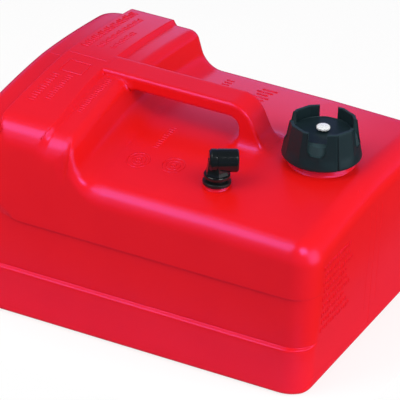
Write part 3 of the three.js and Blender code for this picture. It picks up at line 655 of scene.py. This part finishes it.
# Sizes are (width, height), and a row of ticks is (low, high, first, last, spacing, size)
relief = {
    "sink": 0.5, "endRun": 0.6,
    "bar": (1.7, 0.55), "fine": (1.2, 0.42), "seam": (1.2, 0.18), "end": (2.0, 0.85), "wide": (2.6, 0.6),
    "topRows": [
        (-145, -136, 20, 124, 4.2, "bar"), (-131, -124, 26, 112, 3.6, "fine"), (-119, -113, 30, 76, 3.6, "fine"),
        (-141, -133, -92, -40, 4.0, "bar"), (-127, -120, -84, -40, 3.6, "fine"),
        (-94.5, -88, -84, -22, 3.4, "fine"), (-28, -22, -54, -14, 3.8, "fine"),
    ],
    "endRows": [(at, at + 4.6, -112 + 2 * (k % 2), -52 - 5 * (k % 3), 4.6, "end")
                for k, at in enumerate(np.arange(58, 124, 8.2))] + [(124, 129, -104, -58, 3.8, "bar")],
    "topBars": [((-138, at), (-115, at), "fine") for at in (-35, -14)]
    + [((at, -35), (at, -14), "fine") for at in (-138, -115)]
    + [((2 + 3 * (k % 2), 78 + 7 * k), (17 + 2 * (k % 3), 78 + 7 * k), "wide") for k in range(6)]
    + [((-33, 100 + 6 * k), (-25, 100 + 6 * k), "bar") for k in range(3)]
    + [((163, -20), (171, -25), "seam"), ((171, -25), (178, -30), "seam")]
    + [((-176, 0), (panelStart - 3, 0), "seam"), ((panelStart + 2, 0), (riserStart - 3, 0), "seam")],
    "endBars": [((at, low), (at, high), "seam")
                for at, low, high in ((0, 9, 137), (-12.5, 30, 136), (12.5, 30, 136))],
    "ringCentres": ((-29, -80), (4, -74)), "ringRadii": (10.5, 6.5, 2.6), "ringSquash": 1.1,
}


# Section of a raised line: a low arch of six points, wide and high as asked, with its foot under the surface
def reliefSection(size, full=1.0, level=1.0):
    side = np.array([[-0.5, -0.36, 0, 0.36, 0.5, 0]]) * size[0] * full
    up = np.array([[0, 0.92, 1, 0.92, 0, 0]]) * size[1] * level
    return side, up - np.array([[1, 0, 0, 0, 1, 1]]) * relief["sink"]


# The section carried along a straight line, narrower and lower at its ends
def raisedBar(shell, start, end, size, place):
    start, end = np.array(start, float), np.array(end, float)
    length, run = np.linalg.norm(end - start), relief["endRun"]
    along = (end - start) / length
    steps = max(2, math.ceil(length / 6))
    at = np.concatenate([[0, 0.25], np.linspace(run, length - run, steps), [length - 0.25, length]])[:, None]
    full = np.array([0.55, 0.9] + [1] * steps + [0.9, 0.55])[:, None]
    level = np.array([0.3, 0.8] + [1] * steps + [0.8, 0.3])[:, None]
    side, up = reliefSection(size, full, level)
    u = start[0] + along[0] * at - along[1] * side
    v = start[1] + along[1] * at + along[0] * side
    shell.rings(place(u, v, up))


# The section carried round a circle, which is drawn out along the second axis
def raisedRing(shell, centre, radius, size, place):
    turn = np.linspace(0, 2 * math.pi, 32, endpoint=False)[:, None]
    side, up = reliefSection(size)
    u = centre[0] + (radius + side) * np.cos(turn)
    v = centre[1] + (radius + side) * np.sin(turn) * relief["ringSquash"]
    shell.rings(place(u, v, up + 0 * turn), closeRows=True)


# Ticks run along the first axis and are set along the second, or the other way round when turned
def tickRow(shell, row, place, turned=False):
    low, high, first, last, spacing, size = row
    for k, at in enumerate(np.arange(first, last, spacing)):
        short = 0.25 * (high - low) * (k % 3 == 1)
        a, b = (low + short, at), (high, at)
        if turned:
            a, b = a[::-1], b[::-1]
        raisedBar(shell, a, b, relief[size], place)


def addRelief(shell):
    for row in relief["topRows"]:
        tickRow(shell, row, onTop)
    for row in relief["endRows"]:
        tickRow(shell, row, onEnd, turned=True)
    for bars, place in ((relief["topBars"], onTop), (relief["endBars"], onEnd)):
        for start, end, size in bars:
            raisedBar(shell, start, end, relief[size], place)
    for centre in relief["ringCentres"]:
        for radius in relief["ringRadii"]:
            raisedRing(shell, centre, radius, relief["fine"], onTop)


skin = tankSkin()
print("tank skin:", len(skin.data.polygons), "faces")


# Cap grip: one profile all round, which drops to the recess floor and into a channel in each of four slots
grip = {
    "x": neckX, "base": gripHigh[0] - neckX, "rim": 36.2, "rimHeight": 1.6, "top": 32.0,
    "bottom": gripLow[2], "height": gripHigh[2], "floor": gripHigh[2] - 10.7, "floorThickness": 2.6,
    "wall": 2.9, "hole": 2.8, "inner": 30.8, "mouth": 34.9, "slotHalf": 9.0, "slotAngle": 15.0, "slotReach": 14.5,
    "dishStart": 8.0, "dishRound": 6.0, "floorFall": 0.2,
    "grooveRadius": 26.8, "grooveDepth": 0.4, "grooveHalf": 0.5, "grooveFloor": 0.2,
    "channelStart": 27.3, "channelDepth": 1.3, "channelFoot": 14.2, "bendAt": 0.4, "bendOut": 0.9, "bendUp": 0.8,
    "taperStart": 18.0, "taperEnd": 14.6, "footHalf": 5.4, "edge": 0.5, "topEdge": 0.65,
    "facets": 12, "facetTurn": -40.7, "facetFrom": 3.0, "facetFull": 12.0, "facetOut": (0.6, 2.5),
    # The next share paints a highlight along the top rim band in the paler colour, and rimBand is that band's
    # height
    "seamWidth": 0.6, "seamDepth": 1.2, "seamOut": (-0.5, 1.0), "rimHighlightShare": 0.5, "rimBand": 0.4,
}


# Outer radius of the cap at a height, which narrows evenly from the rim to the top
def gripOutside(z):
    return np.interp(z, [grip["bottom"] + grip["rimHeight"], grip["height"]], [grip["base"], grip["top"]])


# Profile of the wall between the slots, the profile inside a slot, and the slot's half width at each row
def gripRows():
    g, under = grip, grip["floor"] - grip["floorThickness"]
    recess, foot = g["top"] - g["wall"], g["bottom"] + g["channelFoot"]
    groove, low = g["grooveRadius"], g["floor"] - g["floorFall"]
    taperLow, taperHigh = g["bottom"] + g["taperEnd"], g["bottom"] + g["taperStart"]
    inside = roundedLine([
        (g["hole"], under), (g["hole"], g["floor"], 0.3), (g["dishStart"], g["floor"], g["dishRound"]),
        (groove - g["grooveHalf"], low), (groove - g["grooveFloor"], low + g["grooveDepth"]),
        (groove + g["grooveFloor"], low + g["grooveDepth"]), (groove + g["grooveHalf"], low), (recess, low),
        (recess, g["height"], g["edge"]), (g["top"], g["height"], g["topEdge"]),
        (gripOutside(g["floor"]), g["floor"]), (gripOutside(taperHigh), taperHigh),
        (gripOutside(taperLow), taperLow), (gripOutside(foot), foot),
    ], longest=2.6, arcSteps=4)
    outside = roundedLine([
        (gripOutside(foot), foot), (g["base"], g["bottom"] + g["rimHeight"], 0.5), (g["rim"], g["bottom"], 0.5),
        (g["mouth"], g["bottom"], 0.4), (g["inner"], (g["bottom"] + under) / 2, 1),
        (g["inner"], under), (g["hole"], under),
    ], longest=3, arcSteps=3)[:-1]
    wall = np.concatenate([inside, outside])
    r, z = wall.T
    beside = (np.arange(len(wall)) < len(inside)) & (r > g["channelStart"] - 0.01)
    run = np.concatenate([[0], np.cumsum(np.linalg.norm(np.diff(wall, axis=0), axis=1))])[beside]
    share, bends = (run - run[0]) / (run[-1] - run[0]), [0, g["bendAt"], 1]
    slot = wall.copy()
    slotRadii = [g["channelStart"], g["inner"] + g["bendOut"], gripOutside(foot) - g["channelDepth"]]
    slot[beside, 0] = np.interp(share, bends, slotRadii)
    slot[beside, 1] = np.interp(share, bends, [low, under + g["bendUp"], foot])
    tapered = np.interp(z, [taperLow, taperHigh], [g["footHalf"], g["slotHalf"]])
    return wall, slot, np.where(beside & (r > g["top"]), tapered, g["slotHalf"]), beside


# Share of a radius that a polygon of flat faces keeps, and a narrow seam at one of its corners
def faceted(radius, angle, z):
    g = grip
    step = 2 * math.pi / g["facets"]
    local = (angle - math.radians(g["facetTurn"]) + step / 2) % step - step / 2
    flat = math.cos(step / 2) / np.cos(step / 2 - np.abs(local))
    up = smoothStep(z, g["bottom"] + g["facetFrom"], g["bottom"] + g["facetFull"])
    outer = smoothStep(radius, *(g["grooveRadius"] + out for out in g["facetOut"]))
    apart = (angle - math.radians(g["facetTurn"]) + math.pi) % (2 * math.pi) - math.pi
    seam = np.exp(-((apart * radius / g["seamWidth"]) ** 2)) * g["seamDepth"]
    seam *= smoothStep(radius, *(g["top"] + out for out in g["seamOut"]))
    return radius * (1 + (flat - 1) * up * outer) - seam


# Each quarter of the cap goes across its slot, over the rounded edge, along the wall and over the next edge
def capGrip():
    wall, slot, half, beside = gripRows()
    tangent = np.gradient(wall, axis=0)
    tangent /= np.maximum(np.linalg.norm(tangent, axis=1), 1e-9)[:, None]
    normal = np.stack([-tangent[:, 1], tangent[:, 0]], -1)
    edge, quarter, inSlot, onWall = grip["edge"], math.pi / 2, 13, 55
    past = np.array([0, 0.1, 0.35, 1.0])
    fall = edge - np.sqrt(edge ** 2 - (edge * (1 - past)) ** 2)
    across = np.arcsin(half / np.maximum(slot[:, 0], grip["slotReach"]))[:, None] * np.linspace(-1, 1, inSlot)
    over = np.arcsin((half[:, None] + past * edge) / np.maximum(wall[:, :1], grip["slotReach"]))
    along = over[:, -1:] + (quarter - 2 * over[:, -1:]) * np.linspace(0, 1, onWall + 2)[1:-1]
    turns = np.concatenate([across, over, along, quarter - over[:, ::-1]], 1)
    lowered = np.concatenate([np.zeros(inSlot), fall, np.zeros(onWall), fall[::-1]])[None, :, None]
    share = (np.arange(turns.shape[1]) >= inSlot)[None, :, None]
    base = np.where(share, wall[:, None], slot[:, None]) + normal[:, None] * lowered * beside[:, None, None]
    # Painted light: the slot channels get 1, a paler colour standing in for light on their floors, and the top rim
    # band gets a painted highlight
    rimHighlight = np.where(wall[:, 1] > grip["height"] - grip["rimBand"], grip["rimHighlightShare"], 0)[:, None]
    paintedLight = np.where(beside[:, None] & ~share[..., 0], 1.0, rimHighlight) + 0 * turns
    rings = []
    for k in range(4):
        angle = turns + math.radians(grip["slotAngle"]) + k * quarter
        radius = faceted(base[..., 0], angle, base[..., 1])
        rings.append(np.stack([grip["x"] + radius * np.cos(angle), radius * np.sin(angle), base[..., 1]], -1))
    rings, paintedLights = np.concatenate(rings, 1), np.tile(paintedLight, 4)
    piece = solid("capGrip", rings, closeRows=True)
    values = (paintedLights[:, ::-1] if ringVolume(rings, True) < 0 else paintedLights).ravel()
    # The "recess" attribute carries this painted light: paler channels and a painted rim highlight
    piece.data.attributes.new("recess", "FLOAT", "POINT").data.foreach_set("value", values)
    welded(piece)
    return piece


# Merges points that lie on one another, which also drops faces without area
def welded(piece):
    work = bmesh.new()
    work.from_mesh(piece.data)
    bmesh.ops.remove_doubles(work, verts=work.verts, dist=1e-3 * mm)
    bmesh.ops.dissolve_degenerate(work, dist=1e-3 * mm, edges=work.edges)
    work.to_mesh(piece.data)
    work.free()


# Smooth shading with edges over the angle kept sharp
def sharpened(piece, degrees):
    bpy.ops.object.select_all(action="DESELECT")
    piece.select_set(True)
    bpy.context.view_layer.objects.active = piece
    bpy.ops.object.shade_smooth_by_angle(angle=math.radians(degrees))


gripPiece = capGrip()
sharpened(gripPiece, 17)
print("cap grip:", len(gripPiece.data.polygons), "faces")


# Vent screw: scalloped head on a shank, and the seal ring below it
ventLow, ventHigh = boxOf("vent_screw")
vent = {
    "radius": ventHigh[0] - neckX, "top": ventHigh[2], "headHeight": 3.3, "scallops": 12, "scallopDepth": 0.75,
    "scallopPower": 0.7, "scallopFrom": 1.6, "scallopTo": 0.2, "rimDrop": 1.3,
    "crownInset": 1.0, "crown": 0.6, "flatInset": 3.2, "flatDrop": 0.12, "ringHole": 2.7,
    "shank": 2.4, "end": ventLow[2], "grooveFrom": 0.9, "grooveTo": 2.5, "grooveDepth": 0.5,
}


# Turned screw whose head is pulled in by a power of a sine round its rim
def ventScrew():
    v = vent
    radius, top, shank, inner = v["radius"], v["top"], v["shank"], v["shank"] - v["grooveDepth"]
    head = top - v["headHeight"]
    first, last = v["end"] + v["grooveFrom"], v["end"] + v["grooveTo"]
    profile = roundedLine([
        (0.01, v["end"]), (shank, v["end"], 0.5), (shank, first), (inner, first), (inner, last), (shank, last),
        (shank, head, 0.2), (radius, head, 0.35), (radius, top - v["rimDrop"], 0.5),
        (radius - v["crownInset"], top - v["crown"], 0.8), (radius - v["flatInset"], top - v["flatDrop"], 3),
        (0.01, top),
    ], longest=1.2, arcSteps=5)
    rings = turnedRings(profile, 0, 0, 144)
    reach = np.hypot(rings[..., 0], rings[..., 1])
    turn = np.arctan2(rings[..., 1], rings[..., 0])
    depth = v["scallopDepth"] * (1 - np.abs(np.sin(turn * v["scallops"] / 2)) ** v["scallopPower"])
    depth = depth * smoothStep(reach, radius - v["scallopFrom"], radius - v["scallopTo"])
    rings[..., :2] *= (1 - depth / np.maximum(reach, 0.1))[..., None]
    rings[..., 0] += neckX
    return solid("ventScrew", rings)


# Closed outline of (radius, height) corners, each with its round, turned round the axis at (x, y)
def turnedPiece(name, corners, x, y):
    profile = roundedLine(corners + [corners[0]], longest=3.0, arcSteps=4)[:-1]
    return solid(name, turnedRings(profile, x, y), closeRows=True)


def ventRing():
    low, high = boxOf("vent_o_ring")
    outer, hole, a, b = high[0] - neckX, vent["ringHole"], low[2], high[2]
    corners = [(hole, (a + b) / 2), (hole, b, 0.4), (outer, b, 0.6), (outer, a, 0.6), (hole, a, 0.4)]
    return turnedPiece("ventRing", corners, neckX, 0)


screwPiece = ventScrew()
sharpened(screwPiece, 40)
ventRingPiece = ventRing()


# Pickup: grommet, bush and the swivelling elbow
grommet = {"bore": 7.3, "neck": 9.4, "lip": 12.0, "lipHeight": 2.0, "seat": 0.3, "boreTop": 6.0}
bush = {
    "bore": 5.3, "boreTop": 8.0, "flange": 3.6, "shoulder": 10.3, "shoulderDepth": 3.0, "tube": 7.0,
    "chamfer": 0.6, "chamferDepth": 0.7,
}


def grommetPiece():
    g, (low, high) = grommet, boxOf("pickup_grommet")
    outer, top, seat, lip = high[0] - pickupX, high[2], padTop + grommet["seat"], low[2] + grommet["lipHeight"]
    return turnedPiece("pickupGrommet", [
        (g["bore"], top - g["boreTop"]), (g["bore"], top, 0.3), (outer, top, 1.0), (outer, seat, 0.7),
        (g["neck"], seat, 0.2), (g["neck"], lip, 0.2), (g["lip"], lip, 0.5), (g["lip"], low[2], 0.5),
        (g["bore"], low[2]),
    ], pickupX, pickupY)


def bushPiece():
    b, outer, top, low = bush, bushHigh[0] - pickupX, bushHigh[2], bushLow[2]
    flange, shoulder = top - b["flange"], top - b["flange"] - b["shoulderDepth"]
    return turnedPiece("pickupBush", [
        (b["bore"], top - b["boreTop"]), (b["bore"], top, 0.3), (outer - b["chamfer"], top, 0.5),
        (outer, top - b["chamferDepth"], 0.5), (outer, flange, 0.6),
        (b["shoulder"], flange, 0.5), (b["shoulder"], shoulder, 0.3),
        (b["tube"], shoulder, 0.2), (b["tube"], low, 0.3), (b["bore"], low),
    ], pickupX, pickupY)


elbow = {
    "facing": 30.6, "height": 23.6, "radius": 10.9, "back": 8.0, "reach": 19.1, "dome": 1.9, "rim": 1.3,
    "collarAt": -1.2, "collarWidth": 1.0, "collarDepth": 0.5, "collarRun": 0.3,
    "socket": 6.2, "socketDepth": 13.0, "socketMouth": 0.9, "bore": 2.8, "boreEnd": 0.3,
    "hexFlats": 18.4, "hexCornerCut": 0.192, "hexFrom": bushHigh[2] - padTop + 0.3, "hexCount": 72,
    "hexLevels": [(0, -0.9), (0.15, -1.2), (0.5, -1.1), (1.2, -0.8), (4, -0.1), (8, 0.3)], "hexTop": 0.6,
    "stem": 5.0, "low": boxOf("pickup_elbow")[0][2] - padTop, "barb": 4.4, "barbNeck": 3.9, "barbPitch": 3.5,
    "clipHalf": 4.2, "clipFrom": 15.2, "clipTo": 16.6, "ringFrom": -2.2, "ringTo": -0.3,
}


# Barrel turned round a level axis, over a hexagon whose corners are cut round, over a stem turned upright
def elbowPiece():
    e = elbow
    radius, inner, neckR, reach = e["radius"], e["radius"] - e["collarDepth"], e["barbNeck"], e["reach"]
    collar, collarEnd, bottom = e["collarAt"], e["collarAt"] + e["collarWidth"], e["reach"] - e["socketDepth"]
    barrel = roundedLine([
        (0.01, -e["back"]), (radius - e["dome"], -e["back"], 1.0), (radius, -e["back"] + e["dome"], 1.4),
        (radius, collar, 0.1), (inner, collar + e["collarRun"], 0.1),
        (inner, collarEnd, 0.1), (radius, collarEnd + e["collarRun"], 0.1),
        (radius, reach - e["rim"], 0.4), (radius - e["rim"], reach, 0.5), (e["socket"] + 0.7, reach, 0.3),
        (e["socket"], reach - e["socketMouth"], 0.3), (e["socket"], bottom, 0.4), (e["bore"], bottom, 0.2),
        (e["bore"], e["boreEnd"]), (0.01, e["boreEnd"]),
    ], longest=1.6, arcSteps=5)
    rings = turnedRings(barrel)
    level = np.stack([rings[..., 2], rings[..., 1], e["height"] - rings[..., 0]], -1)
    angle = np.linspace(0, 2 * math.pi, e["hexCount"], endpoint=False)
    flat = e["hexFlats"] / 2 / np.cos((angle + math.pi / 6) % (math.pi / 3) - math.pi / 6)
    corner = e["hexFlats"] / 2 / math.cos(math.pi / 6) - e["hexCornerCut"]
    above, inset = np.array(e["hexLevels"] + [(e["height"] - e["hexFrom"], e["hexTop"])]).T[..., None]
    across = np.minimum(flat, corner) - inset
    hexes = np.stack([across * np.cos(angle), across * np.sin(angle), above + e["hexFrom"] + 0 * across], -1)
    low, stem, pitch, top = e["low"], e["stem"], e["barbPitch"], e["hexFrom"] + 2
    barbs = [(r, low + k * pitch + d, s) for k in (1, 2, 3) for r, d, s in ((e["barb"], 0, 0.1), (neckR, 0.1, 0))]
    upright = roundedLine([(e["bore"], low), (neckR, low, 0.2)] + barbs + [
        (neckR, low + 4 * pitch), (stem, low + 4 * pitch, 0.2), (stem, low + e["clipFrom"] - 0.1),
        (e["clipHalf"], low + e["clipFrom"]), (e["clipHalf"], low + e["clipTo"]), (stem, low + e["clipTo"] + 0.1),
        (stem, e["ringFrom"]), (neckR, e["ringFrom"]), (neckR, e["ringTo"]), (stem, e["ringTo"]),
        (stem, top), (e["bore"], top),
    ], longest=4, arcSteps=3)
    shell = Shell()
    shell.rings(placedAtPickup(level))
    shell.rings(placedAtPickup(hexes))
    shell.rings(placedAtPickup(turnedRings(upright, around=48)), closeRows=True)
    return shell.object("pickupElbow")


# Turns rings by the way the barrel faces and sets them on the pad
def placedAtPickup(rings):
    c, s = math.cos(math.radians(elbow["facing"])), math.sin(math.radians(elbow["facing"]))
    x, y, z = rings[..., 0], rings[..., 1], rings[..., 2]
    return np.stack([pickupX + c * x - s * y, pickupY + s * x + c * y, padTop + z], -1)


grommetShape, bushShape, elbowShape = grommetPiece(), bushPiece(), elbowPiece()
for part in (grommetShape, bushShape, elbowShape, ventRingPiece):
    sharpened(part, 40)
print("fittings built")


# Node tree with short ways to add nodes and to join a value or another node's socket to an input
class Graph:
    def __init__(self, tree):
        self.tree = tree

    def node(self, kind, **settings):
        made = self.tree.nodes.new(kind)
        for key, value in settings.items():
            setattr(made, key, value)
        return made

    def put(self, value, socket):
        if hasattr(value, "is_linked"):
            self.tree.links.new(value, socket)
        else:
            socket.default_value = value

    def filled(self, made, *values):
        for socket, given in zip(made.inputs, values):
            self.put(given, socket)
        return made.outputs[0]

    def ranged(self, value, low, high, outLow, outHigh):
        return self.filled(self.node("ShaderNodeMapRange"), value, low, high, outLow, outHigh)

    def mixed(self, share, first, second):
        made = self.node("ShaderNodeMix", data_type="RGBA")
        self.put(share, made.inputs["Factor"])
        for socket, given in ((made.inputs[6], first), (made.inputs[7], second)):
            self.put(given if hasattr(given, "is_linked") else (*given, 1), socket)
        return made.outputs[2]

    def mixedShader(self, share, first, second):
        return self.filled(self.node("ShaderNodeMixShader"), share, first, second)


# Node material: a main shader with constants, colour and bump worked out from object coordinates
class Look(Graph):
    def __init__(self, name, colour, roughness, metallic=0.0, **constants):
        self.material = bpy.data.materials.new(name)
        self.material.use_nodes = True
        super().__init__(self.material.node_tree)
        self.shader = self.tree.nodes["Principled BSDF"]
        given = {"Base Color": (*colour, 1), "Roughness": roughness, "Metallic": metallic}
        given.update({key.replace("_", " "): value for key, value in constants.items()})
        for key, value in given.items():
            self.shader.inputs[key].default_value = value
        self.where = self.node("ShaderNodeTexCoord").outputs["Object"]

    def noise(self, perMillimetre):
        made = self.node("ShaderNodeTexNoise")
        given = {"Vector": self.where, "Scale": perMillimetre / mm, "Detail": 2.0, "Roughness": 0.5}
        for key, value in given.items():
            self.put(value, made.inputs[key])
        return made.outputs[0]

    def colour(self, value):
        self.put(value, self.shader.inputs["Base Color"])

    # Roughness from low to high over the middle part of a noise
    def roughness(self, perMillimetre, low, high):
        value = self.ranged(self.noise(perMillimetre), 0.3, 0.7, low, high)
        self.put(value, self.shader.inputs["Roughness"])

    def bump(self, height, distance):
        made = self.node("ShaderNodeBump")
        for key, value in {"Strength": 1.0, "Distance": distance * mm, "Height": height}.items():
            self.put(value, made.inputs[key])
        self.put(made.outputs["Normal"], self.shader.inputs["Normal"])


# Red polyethylene: one red, a few percent darker or lighter in wide soft clouds, on a smooth surface
def redPlastic():
    red = {
        "deep": (0.70, 0.0055, 0.0042), "light": (0.75, 0.0075, 0.0055), "cloud": 0.02,
        "sheen": (0.30, 0.25, 1.0, 1), "roughCloud": 0.12, "rough": (0.25, 0.268),
    }
    look = Look("redPlastic", red["deep"], 0.24, IOR=1.5, Specular_IOR_Level=1.0, Specular_Tint=red["sheen"])
    look.colour(look.mixed(look.noise(red["cloud"]), red["deep"], red["light"]))
    look.roughness(red["roughCloud"], *red["rough"])
    return look.material


# Satin black of the cap: blue-green black with painted light, paler in the slot channels and a painted highlight
# on the top rims, with a fine spark-eroded grain
def capPlastic():
    black = {
        # channel is the paler colour painted as light on the slot channels and, at a share, as a painted highlight
        # on the top rims
        "base": (0.007, 0.015, 0.018), "channel": (0.021, 0.041, 0.046), "lift": 1.25, "cloud": 0.08,
        "sheen": (0.6, 0.9, 1.0, 1), "roughCloud": 0.3, "rough": (0.38, 0.46), "grain": 2.2, "grainDepth": 0.006,
    }
    look = Look("capPlastic", black["base"], 0.36, Specular_IOR_Level=0.42, Specular_Tint=black["sheen"])
    # The attribute read here is the painted light from the cap grip: paler channels and painted rim highlights
    paintedLight = look.node("ShaderNodeAttribute", attribute_name="recess").outputs["Fac"]
    pale = tuple(black["lift"] * c for c in black["base"])
    look.colour(look.mixed(paintedLight, look.mixed(look.noise(black["cloud"]), black["base"], pale), black["channel"]))
    look.roughness(black["roughCloud"], *black["rough"])
    look.bump(look.noise(black["grain"]), black["grainDepth"])
    return look.material


# Gloss black, rubber, natural plastic and metals: a colour with small clouds of a second one, and a fine grain
def plainLook(name, colour, second, roughness, spread, grain, depth, metallic=0.0, cloud=0.15, roughCloud=0.4):
    look = Look(name, colour, roughness, metallic)
    look.colour(look.mixed(look.noise(cloud), colour, second))
    look.roughness(roughCloud, roughness - spread, roughness + spread)
    look.bump(look.noise(grain), depth)
    return look.material


def dress(pieces, material):
    for piece in pieces:
        piece.data.materials.clear()
        piece.data.materials.append(material)


red, capBlack = redPlastic(), capPlastic()
gloss = plainLook("glossBlack", (0.006, 0.008, 0.009), (0.007, 0.010, 0.011), 0.14, 0.03, 1.5, 0.002)
rubber = plainLook("sealRubber", (0.007, 0.008, 0.009), (0.010, 0.011, 0.012), 0.34, 0.06, 2.5, 0.006)
natural = plainLook("naturalPlastic", (0.70, 0.69, 0.63), (0.76, 0.75, 0.70), 0.45, 0.05, 1.2, 0.006)
nickel = plainLook("nickelPlate", (0.92, 0.94, 0.95), (0.96, 0.97, 0.97), 0.3, 0.04, 3.0, 0.002, 0.3)
steel = plainLook("springSteel", (0.50, 0.50, 0.51), (0.58, 0.58, 0.58), 0.32, 0.06, 3.0, 0.003, 1.0)
brass = plainLook("brassMesh", (0.55, 0.38, 0.12), (0.62, 0.45, 0.18), 0.38, 0.08, 1.8, 0.05, 1.0)
dress([skin], red)
dress([gripPiece], capBlack)
dress([screwPiece], nickel)
dress([grommetShape, ventRingPiece], rubber)
dress([bushShape, elbowShape], gloss)
cadLooks = {
    "cap_insert": natural, "pickup_tube": natural, "strainer_body": natural, "strainer_plug": natural,
    "cap_gasket": rubber, "pickup_o_ring": rubber, "vent_clip": steel, "pickup_clip": steel,
    "strainer_screen": brass,
}
for name, material in cadLooks.items():
    dress([bpy.data.objects[name]], material)

places = [
    (skin, "tank", "tank_shell", "red_polyethylene"), (gripPiece, "cap", "cap_grip", "black_satin"),
    (screwPiece, "vent", "vent_screw", "nickel"), (ventRingPiece, "vent_seal", "vent_o_ring", "seal_rubber"),
    (grommetShape, "tank", "pickup_grommet", "seal_rubber"), (bushShape, "tank", "pickup_bush", "black_gloss"),
    (elbowShape, "pickup", "pickup_elbow", "black_gloss"),
]
for piece, body, node, slotName in places:
    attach(piece, body)
    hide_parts(node)
print("materials and bodies set")


# Floor, lights and camera
stage = {
    "floorX": (-0.9, 0.235), "floorY": (-0.22, 1.4), "floor": (0.94, 0.94, 0.94), "floorOwn": 0.25,
    "floorShine": (0.07, 0.065, 0.14), "around": 0.6, "skyTint": (0.34, 0.34, 1.0),
    "sky": [(0.0, 0.03), (0.02, 1.0), (0.13, 0.62), (0.26, 0.3), (0.7, 0.14)],
    "skyToward": (-0.5, 0.866, 0.0), "skyFade": (0.25, 0.75), "skyLeast": 0.15, "aimHeight": 0.1,
}
# Lamps as (towards, distance, size, power), in metres and watts, with a colour and whether gloss leaves them out
lamps = {
    "key": ((-0.34, -0.45, 0.83), 1.5, 0.86, 5.5),
    "top": ((0.6, -0.31, 0.72), 1.5, 0.6, 5.0),
    "high": ((-0.3, 0.05, 0.95), 1.5, 0.32, 0.5),
    "side": ((0.97, 0.05, 0.24), 1.5, 1.1, 3.2),
    "right": ((0.97, 0.0, 0.24), 1.5, 1.0, 11.6, (1, 1, 1), True),
    "back": ((-0.37, 0.9, 0.25), 1.8, 0.45, 0.45, (0.7, 0.68, 1)),
    "near": ((-0.38, -0.7, 0.6), 0.75, 0.5, 1.6, (1, 1, 1), True),
}


# The camera sees the floor as nearly white, and shiny pieces see it as a dim violet
def floorPlane():
    (left, right), (front, back) = stage["floorX"], stage["floorY"]
    corners = np.array([(left, front, 0), (right, front, 0), (right, back, 0), (left, back, 0)]) / mm
    floor = meshObject("floor", corners, [(0, 1, 2, 3)], smooth=False)
    look = Look("paleFloor", stage["floor"], 0.9, Specular_IOR_Level=0.0)
    look.colour(look.mixed(look.noise(0.01), stage["floor"], tuple(0.99 * c for c in stage["floor"])))
    rays = look.node("ShaderNodeLightPath").outputs
    shine = look.node("ShaderNodeEmission")
    shine.inputs["Color"].default_value = (*stage["floorShine"], 1)
    seen = look.node("ShaderNodeMath", operation="MULTIPLY")
    seen = look.filled(seen, rays["Is Camera Ray"], 1 - stage["floorOwn"])
    shown = look.mixedShader(seen, look.shader.outputs[0], look.node("ShaderNodeEmission").outputs[0])
    shown = look.mixedShader(rays["Is Glossy Ray"], shown, shine.outputs[0])
    look.put(shown, look.tree.nodes["Material Output"].inputs["Surface"])
    dress([floor], look.material)


# Square lamp on a ray from above the middle of the floor, turned to face back along it
def lightAt(name, towards, distance, size, power, colour=(1, 1, 1), matt=False):
    lamp = bpy.data.lights.new(name, "AREA")
    lamp.shape, lamp.size, lamp.energy, lamp.color = "SQUARE", size, power, colour
    direction = Vector(towards).normalized()
    holder = bpy.data.objects.new(name, lamp)
    holder.location = direction * distance + Vector((0, 0, stage["aimHeight"]))
    holder.rotation_euler = direction.to_track_quat("Z", "Y").to_euler()
    holder.visible_glossy = not matt
    bpy.context.scene.collection.objects.link(holder)


# White world for the camera and for matt surfaces; shiny ones see a bright low sky that darkens upwards
def worldLight():
    world = bpy.data.worlds.new("studio")
    bpy.context.scene.world = world
    world.use_nodes = True
    graph = Graph(world.node_tree)
    rays = graph.node("ShaderNodeLightPath").outputs
    place = graph.node("ShaderNodeTexCoord").outputs["Generated"]
    split, ramp = graph.node("ShaderNodeSeparateXYZ"), graph.node("ShaderNodeValToRGB")
    graph.put(place, split.inputs[0])
    graph.put(split.outputs["Z"], ramp.inputs["Fac"])
    elements = ramp.color_ramp.elements
    while len(elements) < len(stage["sky"]):
        elements.new(0.5)
    for element, (at, level) in zip(elements, stage["sky"]):
        element.position = at
        element.color = (*(level * c for c in stage["skyTint"]), 1)
    toward = graph.node("ShaderNodeVectorMath", operation="DOT_PRODUCT")
    graph.filled(toward, place, stage["skyToward"])
    fade = graph.ranged(toward.outputs["Value"], *stage["skyFade"], stage["skyLeast"], 1)
    faded = graph.node("ShaderNodeVectorMath", operation="SCALE")
    graph.put(ramp.outputs["Color"], faded.inputs[0])
    graph.put(fade, faded.inputs["Scale"])
    shiny = graph.mixed(rays["Is Glossy Ray"], [stage["around"]] * 3, faded.outputs[0])
    shown = graph.mixed(rays["Is Camera Ray"], shiny, (1, 1, 1))
    graph.put(shown, graph.tree.nodes["Background"].inputs["Color"])


view = {
    "turn": 25.65, "rise": 30.7, "roll": 2.52, "focal": 3742.75, "imageWidth": 400, "sensor": 36,
    "distance": 3593.42, "aim": (-0.000663, 0.021986), "clipEnd": 20,
}


# Camera on a sphere round the origin, aimed a little off it and rolled
def cameraView():
    turn, rise, roll = (math.radians(view[k]) for k in ("turn", "rise", "roll"))
    back = Vector((math.sin(turn) * math.cos(rise), -math.cos(turn) * math.cos(rise), math.sin(rise)))
    right = Vector((math.cos(turn), math.sin(turn), 0))
    up = right.cross(-back)
    ahead = (-back + view["aim"][0] * right + view["aim"][1] * up).normalized()
    across = right * math.cos(roll) + up * math.sin(roll)
    across = (across - across.dot(ahead) * ahead).normalized()
    above = across.cross(ahead)
    lens = bpy.data.cameras.new("camera")
    lens.sensor_width = view["sensor"]
    lens.lens = view["focal"] / view["imageWidth"] * view["sensor"]
    lens.clip_end = view["clipEnd"]
    camera = bpy.data.objects.new("camera", lens)
    turned = Matrix((across, above, -ahead)).transposed().to_4x4()
    camera.matrix_world = Matrix.Translation(back * view["distance"] * mm) @ turned
    bpy.context.scene.collection.objects.link(camera)
    bpy.context.scene.camera = camera


floorPlane()
for name, lamp in lamps.items():
    lightAt(name, *lamp)
worldLight()
cameraView()
bpy.context.scene.view_settings.view_transform = "Standard"
